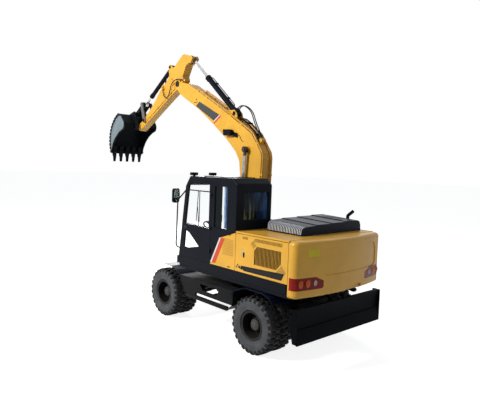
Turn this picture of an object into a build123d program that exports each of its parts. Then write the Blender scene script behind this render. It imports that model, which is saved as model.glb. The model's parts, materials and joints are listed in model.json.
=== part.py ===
from build123d import *
import math
import os

os.makedirs("parts", exist_ok=True)

# Wheeled excavator, 14 t class.  Millimetres, +X forward, +Y left, +Z up.
# The geometry is drawn about the swing axis and moved by SWING_X at export,
# so that the saved pieces are centred on the machine's whole length.

# ------------------------------------------------------------------ sizes
SWING_X = -1771
FIT = 0.3

# undercarriage
TYRE_OD = 1055
TYRE_W = 280
RIM_D = 508
WHEEL_R = TYRE_OD / 2
TWIN_PITCH = 330
TRACK_OUT = 1245
REAR_AXLE_X = -1070
WHEELBASE = 2800
FRONT_AXLE_X = REAR_AXLE_X + WHEELBASE
WHEEL_MID_Y = TRACK_OUT - TYRE_W - (TWIN_PITCH - TYRE_W) / 2
KINGPIN_Y = WHEEL_MID_Y - 141
DRUM_Y = WHEEL_MID_Y - 81
FRAME_TOP = 1040
FRAME_BOTTOM = 700
RING_R = 560
RING_TOP = 1200 - FIT
BLADE_W = 2490
BLADE_H = 578
BLADE_Z = 488
BLADE_X = -2137
ARM_PIVOT_X = -1420
ARM_PIVOT_Z = 580
BLADE_PIN_X = -1990
BLADE_PIN_Z = 800
BLADE_ARM_Y = 450
BLADE_CYL_Y = 270
BLADE_BASE_X = -1520
BLADE_BASE_Z = 1082
BLADE_EYE_X = -1985
BLADE_EYE_Z = 655
END_PLATE_W = 155
END_PLATE_T = 24
LASH_R = 22
LASH_X = 113
LASH_DOWN = 75

# upper structure
DECK_Z = 1200
DECK_T = 30
FLOOR_Z = 1300
SIDE_Y = 1245
SKIRT_TOP = 1448
SKIRT_BOTTOM = 1293
DECK_TOP = 2190
PANEL_T = 25
SKIRT_IN = SIDE_Y - 58
COUNTER_FRONT = -1914
CAB_REAR = -597
CAB_FRONT = 1200
CAB_IN_Y = 315
CAB_TOP = 3160
CAB_WALL = 45
GLASS_T = 6
DOOR_REAR = 120
DOOR_FRONT = 1050
PLATE_Y = 155
PLATE_T = 25

# working equipment
BOOM_FOOT_X = 70
BOOM_FOOT_Z = 1840
BOOM_LENGTH = 4570
BOOM_ANGLE = 50.93
BOOM_W = 300
BOOM_CYL_Y = 226
BOOM_CYL_OD = 112
BOOM_ROD_D = 75
CYL_BASE_X = 442
CYL_BASE_Z = 1550
CYL_EYE_X = 305
CYL_EYE_Z = 3746
ARM_LENGTH = 2100
ARM_ANGLE = -28.7
ARM_W = 250
GUIDE_BACK = 351
PIN_CAP_R = 36
RAIL_R = 14
HOSE_R = 12
PIPE_Y = (-136, -108, 108, 136)
ARM_BASE_ALONG = 2586
ARM_BASE_UP = 1102
ARM_EYE_BACK = 669
ARM_EYE_UP = 279
BUCKET_BASE_ALONG = 163
BUCKET_BASE_UP = 639
ARM_CYL_OD = 130
ARM_ROD_D = 80
BUCKET_CYL_OD = 112
BUCKET_ROD_D = 70
LINK_GUIDE = 475
LINK_H = 430
BUCKET_PINS = 414
BUCKET_ANGLE = 62.2
BUCKET_W = 1040
TOOTH_COUNT = 5
TOOTH_PITCH = 205

# ---------------------------------------------------------------- helpers


def side_plane(x, z, angle=0.0, y=0.0):
    """Plane on the side view: local x along the angle, local y above it."""
    a = math.radians(angle)
    return Plane(origin=(x, y, z), x_dir=(math.cos(a), 0, math.sin(a)), z_dir=(0, -1, 0))


def polar(x, z, length, angle):
    """Point of the side view at a length and an angle from (x, z)."""
    a = math.radians(angle)
    return x + length * math.cos(a), z + length * math.sin(a)


def angle_to(x1, z1, x2, z2):
    """Angle in degrees of the side-view line from the first to the second point."""
    return math.degrees(math.atan2(z2 - z1, x2 - x1))


def distance(x1, z1, x2, z2):
    """Length of the side-view line between two points."""
    return math.hypot(x2 - x1, z2 - z1)


def member_point(x, z, angle, along, up, y):
    """Point of the machine at a place along a member and a height above its axis."""
    px, pz = polar(*polar(x, z, along, angle), up, angle + 90)
    return px, y, pz


def meet(x1, z1, r1, x2, z2, r2):
    """Upper crossing of two circles in the side view."""
    d = distance(x1, z1, x2, z2)
    along = (r1 * r1 - r2 * r2 + d * d) / (2 * d)
    up = math.sqrt(r1 * r1 - along * along)
    a = angle_to(x1, z1, x2, z2)
    return polar(*polar(x1, z1, along, a), up, a + 90)


def save(piece, name):
    """Name a piece, move it to the machine's own origin and write its STEP file."""
    piece.label = name
    moved = piece.moved(Location((SWING_X, 0, 0)))
    moved.label = name
    export_step(moved, f"parts/{name}.step")


TIP_X, TIP_Z = polar(BOOM_FOOT_X, BOOM_FOOT_Z, BOOM_LENGTH, BOOM_ANGLE)
P1_X, P1_Z = polar(TIP_X, TIP_Z, ARM_LENGTH, ARM_ANGLE)
P2_X, P2_Z = polar(P1_X, P1_Z, BUCKET_PINS, BUCKET_ANGLE)
GUIDE_AT = ARM_LENGTH - GUIDE_BACK
GUIDE_X, GUIDE_Z = polar(TIP_X, TIP_Z, GUIDE_AT, ARM_ANGLE)
R_X, R_Z = meet(GUIDE_X, GUIDE_Z, LINK_GUIDE, P2_X, P2_Z, LINK_H)
ARM_BASE = polar(*polar(BOOM_FOOT_X, BOOM_FOOT_Z, ARM_BASE_ALONG, BOOM_ANGLE), ARM_BASE_UP, BOOM_ANGLE + 90)
ARM_EYE = polar(*polar(TIP_X, TIP_Z, -ARM_EYE_BACK, ARM_ANGLE), ARM_EYE_UP, ARM_ANGLE + 90)
BUCKET_BASE = polar(*polar(TIP_X, TIP_Z, BUCKET_BASE_ALONG, ARM_ANGLE), BUCKET_BASE_UP, ARM_ANGLE + 90)
BOOM = side_plane(BOOM_FOOT_X, BOOM_FOOT_Z, BOOM_ANGLE)
ARM = side_plane(TIP_X, TIP_Z, ARM_ANGLE)
BUCKET = side_plane(P1_X, P1_Z, BUCKET_ANGLE)

# ------------------------------------------------------------- chassis

with BuildPart() as chassis_frame:
    with BuildSketch(Plane.XY.offset(FRAME_BOTTOM)):
        with BuildLine():
            Polyline((-1470, -360), (-700, -360), (-560, -480), (560, -480), (900, -300),
                     (2020, -260), (2020, 260), (900, 300), (560, 480), (-560, 480),
                     (-700, 360), (-1470, 360), close=True)
        make_face()
    extrude(amount=FRAME_TOP - FRAME_BOTTOM)
    with BuildSketch(Plane.XY.offset(FRAME_TOP - 60)):
        Circle(RING_R + 30)
    extrude(amount=60)
    with BuildSketch(side_plane(0, 0)):
        with BuildLine():
            Polyline((-1500, 900), (-1500, 620), (ARM_PIVOT_X - 70, ARM_PIVOT_Z - 60),
                     (ARM_PIVOT_X + 70, ARM_PIVOT_Z - 60), (-1300, 700), (-1300, 900), close=True)
        make_face()
    extrude(amount=BLADE_ARM_Y - 29 - FIT, both=True)
    for y in (-BLADE_CYL_Y, BLADE_CYL_Y):
        for dy in (-56, 56):
            with BuildSketch(side_plane(0, 0, 0, y + dy)):
                with BuildLine():
                    Polyline((-1400, 1030), (-1490, 1030), (BLADE_BASE_X - 50, BLADE_BASE_Z),
                             (BLADE_BASE_X - 30, BLADE_BASE_Z + 50),
                             (BLADE_BASE_X + 30, BLADE_BASE_Z + 50), close=True)
                make_face()
            extrude(amount=10, both=True)
save(chassis_frame.part, "chassis_frame")

with BuildPart() as slew_ring:
    with BuildSketch(Plane.XY.offset(FRAME_TOP + FIT)):
        Circle(RING_R)
        Circle(RING_R - 110, mode=Mode.SUBTRACT)
    extrude(amount=RING_TOP - FRAME_TOP - FIT)
save(slew_ring.part, "slew_ring")


# half profile of both axles: distance from the middle, radius
AXLE_BODY = ((0, 172), (95, 168), (170, 120), (300, 88))
TUBE_R = 85
SPINDLE_R = 62
with BuildPart() as rear_axle:
    with BuildSketch(Plane.XY.offset(WHEEL_R)):
        with BuildLine():
            Polyline((REAR_AXLE_X, 0), *((REAR_AXLE_X + r, y) for y, r in AXLE_BODY),
                     (REAR_AXLE_X + TUBE_R, DRUM_Y - 160), (REAR_AXLE_X + 150, DRUM_Y - 140),
                     (REAR_AXLE_X + 150, DRUM_Y), (REAR_AXLE_X + SPINDLE_R - FIT, DRUM_Y),
                     (REAR_AXLE_X + SPINDLE_R - FIT, WHEEL_MID_Y + 40), (REAR_AXLE_X, WHEEL_MID_Y + 40), close=True)
        make_face()
    revolve(axis=Axis((REAR_AXLE_X, 0, WHEEL_R), (0, 1, 0)))
    mirror(about=Plane.XZ)
    with Locations((REAR_AXLE_X, 0, FRAME_BOTTOM - FIT - 40)):
        Box(260, 480, 80)
save(rear_axle.part, "rear_axle")

with BuildPart() as front_axle:
    with BuildSketch(Plane.XY.offset(WHEEL_R)):
        with BuildLine():
            Polyline((FRONT_AXLE_X, 0), *((FRONT_AXLE_X + r, y) for y, r in AXLE_BODY),
                     (FRONT_AXLE_X + TUBE_R, KINGPIN_Y - 110), (FRONT_AXLE_X, KINGPIN_Y - 110), close=True)
        make_face()
    revolve(axis=Axis((FRONT_AXLE_X, 0, WHEEL_R), (0, 1, 0)))
    mirror(about=Plane.XZ)
    with Locations((FRONT_AXLE_X, 0, FRAME_BOTTOM - FIT - 40)):
        Box(260, 480, 80)
    for side in (-1, 1):
        with Locations((FRONT_AXLE_X, side * (KINGPIN_Y - 110), WHEEL_R)):
            Box(150, 60, 330)
        for dz in (-1, 1):
            with Locations((FRONT_AXLE_X, side * (KINGPIN_Y - 45), WHEEL_R + dz * 150)):
                Box(110, 120, 30)
            with Locations((FRONT_AXLE_X, side * KINGPIN_Y, WHEEL_R + dz * 150)):
                Cylinder(55, 30)
    # steering cylinder across the axle
    with BuildSketch(side_plane(FRONT_AXLE_X + 170, WHEEL_R + 20)):
        Circle(42)
    extrude(amount=260, both=True)
    with BuildSketch(side_plane(FRONT_AXLE_X + 170, WHEEL_R + 20)):
        Circle(20)
    extrude(amount=KINGPIN_Y - 330, both=True)
    with Locations((FRONT_AXLE_X + 125, 0, WHEEL_R + 20)):
        Box(100, 200, 60)
save(front_axle.part, "front_axle")

SHAFT_END = 173
with BuildPart() as drive_line:
    with BuildSketch(Plane.YZ.offset(REAR_AXLE_X + SHAFT_END)):
        with Locations((0, WHEEL_R + 10)):
            Circle(50)
    extrude(amount=WHEELBASE - 2 * SHAFT_END)
    with Locations((250, 0, WHEEL_R + 20)):
        Box(420, 300, 2 * (FRAME_BOTTOM - WHEEL_R - 20) - 2 * FIT)
save(drive_line.part, "drive_line")

for side, name in ((1, "knuckle_left"), (-1, "knuckle_right")):
    with BuildPart() as knuckle:
        with Locations((FRONT_AXLE_X, side * KINGPIN_Y, WHEEL_R)):
            Cylinder(62, 270 - 2 * FIT)
        with BuildSketch(side_plane(FRONT_AXLE_X, WHEEL_R, 0, side * KINGPIN_Y)):
            Circle(110)
        extrude(amount=-side * 90)
        with BuildSketch(side_plane(FRONT_AXLE_X, WHEEL_R, 0, side * KINGPIN_Y)):
            Circle(62 - FIT)
        extrude(amount=-side * (WHEEL_MID_Y + 40 - KINGPIN_Y))
    save(knuckle.part, name)

WHEELS = (
    # name, axle x, side
    ("rear_left", REAR_AXLE_X, 1),
    ("rear_right", REAR_AXLE_X, -1),
    ("front_left", FRONT_AXLE_X, 1),
    ("front_right", FRONT_AXLE_X, -1),
)

LUG_COUNT = 26
LUG_DEPTH = 34
TREAD_W = 236
SIDEWALL_SIDES = 16
LIP_SEAT = 96
HALF_LUG = 0.27
LUG_TIP_R = WHEEL_R / math.cos(math.radians(HALF_LUG * 360 / LUG_COUNT))
# one lug's outline: share of the pitch, radius
LUG = ((-0.36, LUG_TIP_R - LUG_DEPTH), (-HALF_LUG, LUG_TIP_R), (HALF_LUG, LUG_TIP_R), (0.36, LUG_TIP_R - LUG_DEPTH))
# half of the tyre's section: distance from its middle, radius
SIDEWALL = ((TREAD_W / 2 - 1, WHEEL_R - 48), (TYRE_W / 2, WHEEL_R - 120), (TYRE_W / 2 - 4, RIM_D / 2 + 85),
            (90, RIM_D / 2 + 2))
tread_outline = [
    ((radius * math.sin(turn), -radius * math.cos(turn)))
    for i in range(LUG_COUNT) for share, radius in LUG for turn in [math.radians((i + share) * 360 / LUG_COUNT)]
]

with BuildPart() as twin_tyre:
    for y in (-TWIN_PITCH / 2, TWIN_PITCH / 2):
        with BuildSketch(side_plane(0, 0, 0, y)):
            with BuildLine():
                Polyline(*tread_outline, close=True)
            make_face()
        extrude(amount=TREAD_W / 2, both=True)
        for half in (-1, 1):
            for (y1, r1), (y2, r2) in zip(SIDEWALL, SIDEWALL[1:]):
                with BuildSketch(side_plane(0, 0, 0, y + half * y1)):
                    RegularPolygon(r1, SIDEWALL_SIDES)
                with BuildSketch(side_plane(0, 0, 0, y + half * y2)):
                    RegularPolygon(r2, SIDEWALL_SIDES)
                loft(ruled=True)
        with BuildSketch(side_plane(0, 0, 0, y)):
            RegularPolygon(RIM_D / 2 + 2, SIDEWALL_SIDES, major_radius=False)
        extrude(amount=TYRE_W / 2 + 1, both=True, mode=Mode.SUBTRACT)
        # seats of the rims' lips
        for half in (-1, 1):
            with BuildSketch(side_plane(0, 0, 0, y + half * LIP_SEAT)):
                RegularPolygon(RIM_D / 2 + 24, SIDEWALL_SIDES, major_radius=False)
            extrude(amount=-half * TYRE_W / 2, mode=Mode.SUBTRACT)

for name, axle_x, side in WHEELS:
    save(twin_tyre.part.moved(Location((axle_x, side * WHEEL_MID_Y, WHEEL_R))), f"tyre_{name}")
    hub = Plane(origin=(axle_x, side * WHEEL_MID_Y, WHEEL_R), x_dir=(1, 0, 0), z_dir=(0, 0, side))
    r = RIM_D / 2
    with BuildPart() as rim:
        with BuildSketch(hub):
            with BuildLine():
                out = TWIN_PITCH / 2 + 98
                Polyline((75, -40), (r - 22, -30), (r - 22, -out - 8), (r + 14, -out - 8), (r + 14, -out - 2),
                         (r + 1.7, -out), (r + 1.7, out), (r + 14, out + 2), (r + 14, out + 8),
                         (r - 22, out + 8), (r - 22, 30), (150, 45), (140, 130), (105, 175),
                         (0, 180), (0, 60), (62, 55), (62, -40), close=True)
            make_face()
        revolve(axis=Axis((axle_x, 0, WHEEL_R), (0, 1, 0)))
    save(rim.part, f"rim_{name}")

# step boxes between the axles, and fenders over the wheels, alike on both sides
STEP_IN_Y = 640
STEP_OUT_Y = 1235
STEP_TOP = 1047
STEP_BAR_TOP = 720
STEP_BOTTOM = 628
FENDER_T = 10
FENDER_GAP = FENDER_T / 2 + FIT
with BuildPart() as step_boxes:
    for side in (-1, 1):
        with BuildSketch(side_plane(0, 0, 0, side * STEP_IN_Y)):
            with BuildLine():
                Polyline((-577, STEP_TOP), (1124, STEP_TOP), (1118.3, 1035.5), (900.5, STEP_BOTTOM),
                         (-364, STEP_BOTTOM), (-560, 762), close=True)
            make_face()
        extrude(amount=-side * (STEP_OUT_Y - STEP_IN_Y))
        # open step between the panel and the tread bar
        with BuildSketch(side_plane(0, 0, 0, side * (STEP_OUT_Y + 5))):
            with BuildLine():
                Polyline((-410, STEP_BAR_TOP), (571, STEP_BAR_TOP), (571, 775), (-410, 775), close=True)
            make_face()
        extrude(amount=side * 260, mode=Mode.SUBTRACT)
        # pocket in the panel
        with BuildSketch(side_plane(0, 0, 0, side * (STEP_OUT_Y + 5))):
            with BuildLine():
                p1 = Polyline((439, 985), (-166, 985), (-108, 866), (340, 866), close=True)
            make_face()
            fillet(p1.vertices(), radius=22)
        extrude(amount=side * 120, mode=Mode.SUBTRACT)
        with Locations((260, side * (480 + STEP_IN_Y + 2 * FIT) / 2, 800)):
            Box(560, STEP_IN_Y - 480 - FIT, 150)
save(step_boxes.part, "step_boxes")

with BuildPart() as fenders:
    for side in (-1, 1):
        with BuildSketch(side_plane(0, 0, 0, side * 690)):
            with BuildLine():
                Polyline((1686, 1180), (1423, 1174), (1259, 1116), (1123, 1033), (925, 662))
                offset(amount=FENDER_T / 2)
            make_face()
        extrude(amount=-side * 550)
        with BuildSketch(side_plane(0, 0, 0, side * 690)):
            with BuildLine():
                Polyline((-480, STEP_TOP + FENDER_GAP), (-577, STEP_TOP + FENDER_GAP), (-702, 1109),
                         (-872, 1180), (-1340, 1173), (-1500, 1125), (-1590, 1030))
                offset(amount=FENDER_T / 2)
            make_face()
        extrude(amount=-side * 550)
save(fenders.part, "fenders")

# ------------------------------------------------------------- blade

with BuildPart() as blade_arms:
    for y in (-BLADE_ARM_Y, BLADE_ARM_Y):
        with BuildSketch(side_plane(0, 0, 0, y)):
            with BuildLine():
                Polyline((ARM_PIVOT_X - 30, ARM_PIVOT_Z + 62), (ARM_PIVOT_X - 30, ARM_PIVOT_Z - 62),
                         (BLADE_PIN_X, BLADE_PIN_Z - 38), (BLADE_PIN_X, BLADE_PIN_Z + 38), close=True)
            make_face()
            with Locations((ARM_PIVOT_X, ARM_PIVOT_Z)):
                Circle(68)
            with Locations((BLADE_PIN_X, BLADE_PIN_Z)):
                Circle(38)
        extrude(amount=29, both=True)
    with BuildSketch(side_plane(-1700, 690)):
        Circle(55)
    extrude(amount=BLADE_ARM_Y, both=True)
save(blade_arms.part, "blade_arms")

END_PLATE_Y = BLADE_W / 2 - END_PLATE_T / 2
EDGE_H = 230
EDGE_LEAN = 44
BLADE_RIBS = (-1000, -720, -90, 90, 720, 1000)
with BuildPart() as blade:
    with BuildSketch(side_plane(BLADE_X, BLADE_Z)):
        with BuildLine():
            b1 = ThreePointArc((10, BLADE_H), (50, BLADE_H * 0.45), (0, 0))
            b2 = Line(b1 @ 1, (45, 0))
            b3 = ThreePointArc(b2 @ 1, (88, BLADE_H * 0.45), (46, BLADE_H))
            Line(b3 @ 1, b1 @ 0)
        make_face()
        with Locations((62, BLADE_H - 22)):
            Rectangle(44, 44)
    extrude(amount=BLADE_W / 2 - END_PLATE_T, both=True)
    # bolted cutting edge along the foot of the mouldboard
    with BuildSketch(side_plane(BLADE_X, BLADE_Z)):
        with BuildLine():
            Polyline((-16, -10), (EDGE_LEAN - 16, EDGE_H), (EDGE_LEAN + 14, EDGE_H), (14, -10), close=True)
        make_face()
    extrude(amount=BLADE_W / 2 - END_PLATE_T, both=True)
    for y in BLADE_RIBS:
        with BuildSketch(side_plane(BLADE_X, BLADE_Z, 0, y)):
            with BuildLine():
                Polyline((45, 20), (75, BLADE_H / 2), (50, BLADE_H - 30), (92, BLADE_H - 40), (128, BLADE_H / 2),
                         (90, 20), close=True)
            make_face()
        extrude(amount=8, both=True)
    for y in (-END_PLATE_Y, END_PLATE_Y):
        with BuildSketch(side_plane(BLADE_X, BLADE_Z, 0, y)):
            with BuildLine():
                Polyline((0, 10), (0, BLADE_H), (END_PLATE_W, BLADE_H), (END_PLATE_W, BLADE_H / 2),
                         (70, 10), close=True)
            make_face()
            with Locations((LASH_X, BLADE_H - LASH_DOWN)):
                Circle(LASH_R, mode=Mode.SUBTRACT)
        extrude(amount=END_PLATE_T / 2, both=True)
    for y in (-BLADE_ARM_Y, BLADE_ARM_Y):
        for dy in (-42, 42):
            with BuildSketch(side_plane(0, 0, 0, y + dy)):
                with BuildLine():
                    Polyline((BLADE_X + 60, BLADE_PIN_Z - 90), (BLADE_X + 60, BLADE_PIN_Z + 90),
                             (BLADE_PIN_X + 20, BLADE_PIN_Z + 45), (BLADE_PIN_X + 48, BLADE_PIN_Z),
                             (BLADE_PIN_X + 20, BLADE_PIN_Z - 45), close=True)
                make_face()
            extrude(amount=10, both=True)
    for y in (-BLADE_CYL_Y, BLADE_CYL_Y):
        for dy in (-48, 48):
            with BuildSketch(side_plane(0, 0, 0, y + dy)):
                with BuildLine():
                    Polyline((BLADE_X + 60, BLADE_EYE_Z - 80), (BLADE_X + 60, BLADE_EYE_Z + 80),
                             (BLADE_EYE_X + 20, BLADE_EYE_Z + 40), (BLADE_EYE_X + 44, BLADE_EYE_Z),
                             (BLADE_EYE_X + 20, BLADE_EYE_Z - 40), close=True)
                make_face()
            extrude(amount=10, both=True)
save(blade.part, "blade")

# ------------------------------------------------------------- upper frame

VALVE_X = -330
VALVE_TOP = 1760
UNION_R = 16
UNION_L = 40
TOW_Y = -350
with BuildPart() as upper_frame:
    with BuildSketch(Plane.XY.offset(DECK_Z)):
        with BuildLine():
            Polyline((-1905, -1190), (1200, -1190), (1200, 1190), (-1905, 1190), close=True)
        make_face()
    extrude(amount=DECK_T + 60)
    for y in (-PLATE_Y - PLATE_T / 2, PLATE_Y + PLATE_T / 2):
        with BuildSketch(side_plane(0, 0, 0, y)):
            with BuildLine():
                Polyline((-620, 1280), (-620, 1700), (-500, 1760), (-80, 1930), (70, 1965),
                         (190, 1900), (215, 1800), (270, 1560), (340, 1280), close=True)
            make_face()
        extrude(amount=PLATE_T / 2, both=True)
    for y in (-BOOM_CYL_Y, BOOM_CYL_Y):
        for dy in (-64, 64):
            with BuildSketch(side_plane(0, 0, 0, y + dy)):
                with BuildLine():
                    Polyline((CYL_BASE_X - 150, 1280), (CYL_BASE_X - 70, CYL_BASE_Z + 20),
                             (CYL_BASE_X, CYL_BASE_Z + 52), (CYL_BASE_X + 70, CYL_BASE_Z + 20),
                             (CYL_BASE_X + 150, 1280), close=True)
                make_face()
            extrude(amount=7, both=True)
        for dy in (-76, 76):
            with BuildSketch(side_plane(CYL_BASE_X, CYL_BASE_Z, 0, y + dy)):
                Circle(PIN_CAP_R)
            extrude(amount=6, both=True)
    with BuildSketch(side_plane(BOOM_FOOT_X, BOOM_FOOT_Z)):
        Circle(45)
    extrude(amount=PLATE_Y + PLATE_T + 12, both=True)
    # valve block between the plates, with the unions of the boom's hoses
    with Locations((VALVE_X, 0, (1280 + VALVE_TOP) / 2)):
        Box(180, 2 * PLATE_Y + PLATE_T, VALVE_TOP - 1280)
    for y in PIPE_Y:
        with Locations((VALVE_X, y, VALVE_TOP + UNION_L / 2)):
            Cylinder(UNION_R, UNION_L)
    # towing bracket under the counterweight
    with BuildSketch(side_plane(0, 0, 0, TOW_Y)):
        with BuildLine():
            Polyline((-1880, 1270), (-1900, 1226), (-2165, 1226), (-2180, 1190), (-2160, 1160), (-2110, 1156),
                     (-1905, 1200), (-1880, 1200), close=True)
        make_face()
    extrude(amount=30, both=True)
save(upper_frame.part, "upper_frame")

with BuildPart() as deck_skirts:
    for side in (-1, 1):
        with Locations(((1227 - 1880) / 2, side * 1222, (SKIRT_TOP + SKIRT_BOTTOM) / 2)):
            Box(1227 + 1880, 46, SKIRT_TOP - SKIRT_BOTTOM)
        with Locations(((1190 - 1880) / 2, side * (1197 + FIT), SKIRT_BOTTOM - 3)):
            Box(1190 + 1880, 14, 100)
save(deck_skirts.part, "deck_skirts")

COUNTER_LOW = 1232
COUNTER_TOP = 2185
COUNTER_REAR = -2205
COUNTER_CORNER = -2068
CORNER_R = 110
# outline of the counterweight in plan, sunk in by a depth for its recesses
with BuildSketch() as counter_plan:
    with BuildLine():
        c1 = Polyline((COUNTER_CORNER, SIDE_Y), (COUNTER_FRONT, SIDE_Y), (COUNTER_FRONT, -SIDE_Y),
                      (COUNTER_CORNER, -SIDE_Y))
        ThreePointArc(c1 @ 1, (COUNTER_REAR, 0), c1 @ 0)
    make_face()
    fillet(counter_plan.vertices().sort_by(Axis.X)[:2], radius=CORNER_R)

PANEL_DEEP = 14
with BuildPart() as maker_panel:
    with BuildSketch(Plane.XY.offset(1560)):
        add(counter_plan.sketch)
        offset(counter_plan.sketch, amount=-PANEL_DEEP, mode=Mode.SUBTRACT)
    extrude(amount=2050 - 1560)
    with BuildSketch(Plane.YZ.offset(COUNTER_REAR - 10)):
        with BuildLine():
            m1 = Polyline((600, 1575), (640, 2035), (-960, 2035), (-1040, 1900), (-1040, 1640), (-960, 1575), close=True)
        make_face()
        fillet(m1.vertices(), radius=60)
    extrude(amount=300, mode=Mode.INTERSECT)

LAMP_DEEP = 20
lamp_parts = {}
for use, gap in (("pocket", 0), ("lamp", FIT)):
    with BuildPart() as lamp_pair:
        with BuildSketch(Plane.XY.offset(1300)):
            add(counter_plan.sketch)
            offset(counter_plan.sketch, amount=gap - LAMP_DEEP, mode=Mode.SUBTRACT)
        extrude(amount=400)
        with BuildSketch(Plane.YZ.offset(COUNTER_REAR - 10)):
            for side in (-1, 1):
                with BuildLine():
                    Polyline((side * 1300, 1370 + gap), (side * 1300, 1580 - gap), (side * 800, 1580 - gap),
                             (side * (610 + gap), 1500), (side * (610 + gap), 1400), (side * 640, 1370 + gap),
                             close=True)
                make_face()
        extrude(amount=COUNTER_FRONT - 30 - gap - COUNTER_REAR + 10, mode=Mode.INTERSECT)
    lamp_parts[use] = lamp_pair.part
save(lamp_parts["lamp"], "tail_lamps")

with BuildPart() as counterweight:
    with BuildSketch(Plane.XY.offset(COUNTER_LOW)):
        add(counter_plan.sketch)
    extrude(amount=COUNTER_TOP - COUNTER_LOW)
    rims = counterweight.edges().filter_by(Plane.XY).filter_by(lambda e: e.center().X < COUNTER_FRONT - 20)
    fillet(rims.group_by(Axis.Z)[-1], radius=70)
    fillet(counterweight.edges().filter_by(Plane.XY).filter_by(
        lambda e: e.center().X < COUNTER_FRONT - 20).group_by(Axis.Z)[0], radius=45)
    add(maker_panel.part, mode=Mode.SUBTRACT)
    add(lamp_parts["pocket"], mode=Mode.SUBTRACT)
    # foot recess over the towing bracket
    with Locations((COUNTER_REAR, -240, COUNTER_LOW + 43)):
        Box(120, 480, 90, mode=Mode.SUBTRACT)
save(counterweight.part, "counterweight")

with BuildPart() as engine_deck:
    with Locations(((COUNTER_FRONT + CAB_REAR) / 2 - 6, 0, DECK_TOP - 15)):
        Box(CAB_REAR - COUNTER_FRONT - 2 * FIT - 14, 2 * SIDE_Y - 4, 30)
    for x in (COUNTER_FRONT + 10 + FIT, -635):
        with Locations((x, 0, (DECK_TOP - 30 + 1290 + FIT) / 2)):
            Box(20, 2 * SKIRT_IN, DECK_TOP - 30 - 1290 - FIT)
        for side in (-1, 1):
            with Locations((x + 12.5, side * (SIDE_Y - PANEL_T - FIT - 20), (2160 + 1455) / 2)):
                Box(45, 40, 2160 - 1455)
save(engine_deck.part, "engine_deck")

with BuildPart() as engine_block:
    with Locations((-1280, 0, 1720)):
        Box(900, 280, 640)
    with Locations((-1280, 0, 1345.15)):
        Box(500, 240, 109.7)
save(engine_block.part, "engine_block")

HOOD_FRONT = -830
HOOD_REAR = -1700
HOOD_RIGHT = -1130
HOOD_LEFT = 660
HOOD_RIM = 2350
HOOD_CROWN = 2434
HOOD_FALL = 38
HOOD_STEP = 11
HOOD_T = 15
EXHAUST_X = -1345
EXHAUST_Y = -1190
EXHAUST_R = 34
LOUVRE_PITCH = 38
LOUVRE_COUNT = 21
with BuildPart() as engine_hood:
    for x, fall in ((HOOD_FRONT, 0), (HOOD_REAR, HOOD_FALL)):
        top = HOOD_CROWN - fall
        with BuildSketch(Plane.YZ.offset(x)):
            with BuildLine():
                Polyline((HOOD_RIGHT, DECK_TOP + FIT), (HOOD_RIGHT + 12, HOOD_RIM - fall - 10),
                         (HOOD_RIGHT + 45, top - 24), (HOOD_RIGHT + 120, top),
                         (-650, top), (-640, top - HOOD_STEP), (-200, top - HOOD_STEP),
                         (-190, top - 2 * HOOD_STEP), (240, top - 2 * HOOD_STEP),
                         (250, top - 3 * HOOD_STEP), (HOOD_LEFT - 150, top - 4 * HOOD_STEP),
                         (HOOD_LEFT - 45, HOOD_RIM - fall + 18), (HOOD_LEFT - 8, HOOD_RIM - fall - 15),
                         (HOOD_LEFT, DECK_TOP + FIT), close=True)
            make_face()
    loft(ruled=True)
    for x, fall in ((HOOD_FRONT - HOOD_T, 0), (HOOD_REAR + HOOD_T, HOOD_FALL)):
        top = HOOD_CROWN - fall - HOOD_T
        with BuildSketch(Plane.YZ.offset(x)):
            with BuildLine():
                Polyline((HOOD_RIGHT + HOOD_T, DECK_TOP - 5), (HOOD_RIGHT + HOOD_T + 12, HOOD_RIM - fall - 12),
                         (HOOD_RIGHT + 120, top - 3), (-665, top - 3), (240, top - 3 * HOOD_STEP),
                         (HOOD_LEFT - 150, top - 4 * HOOD_STEP - 5), (HOOD_LEFT - HOOD_T - 12, HOOD_RIM - fall - 24),
                         (HOOD_LEFT - HOOD_T, DECK_TOP - 5), close=True)
            make_face()
    loft(ruled=True, mode=Mode.SUBTRACT)
    for i in range(LOUVRE_COUNT):
        with Locations((HOOD_FRONT - 50 - i * LOUVRE_PITCH, HOOD_LEFT, DECK_TOP + 78)):
            Box(15, 60, 96, mode=Mode.SUBTRACT)
save(engine_hood.part, "engine_hood")

with BuildPart() as exhaust_pipe:
    with BuildLine():
        FilletPolyline((EXHAUST_X, EXHAUST_Y, DECK_TOP + FIT), (EXHAUST_X, EXHAUST_Y, 2445),
                       (EXHAUST_X - 125, EXHAUST_Y, 2545), radius=60)
    with BuildSketch(Plane.XY.offset(DECK_TOP + FIT)):
        with Locations((EXHAUST_X, EXHAUST_Y)):
            Circle(EXHAUST_R)
            Circle(EXHAUST_R - 4, mode=Mode.SUBTRACT)
    sweep()
save(exhaust_pipe.part, "exhaust_pipe")

# side doors and panels
with BuildPart() as left_front_door:
    with BuildSketch(side_plane(0, 0, 0, SIDE_Y)):
        with BuildLine():
            Polyline((-606, 1455), (112, 1455), (-150, 2003), (-606, 2154), close=True)
        make_face()
    extrude(amount=PANEL_T)
save(left_front_door.part, "left_front_door")

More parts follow.
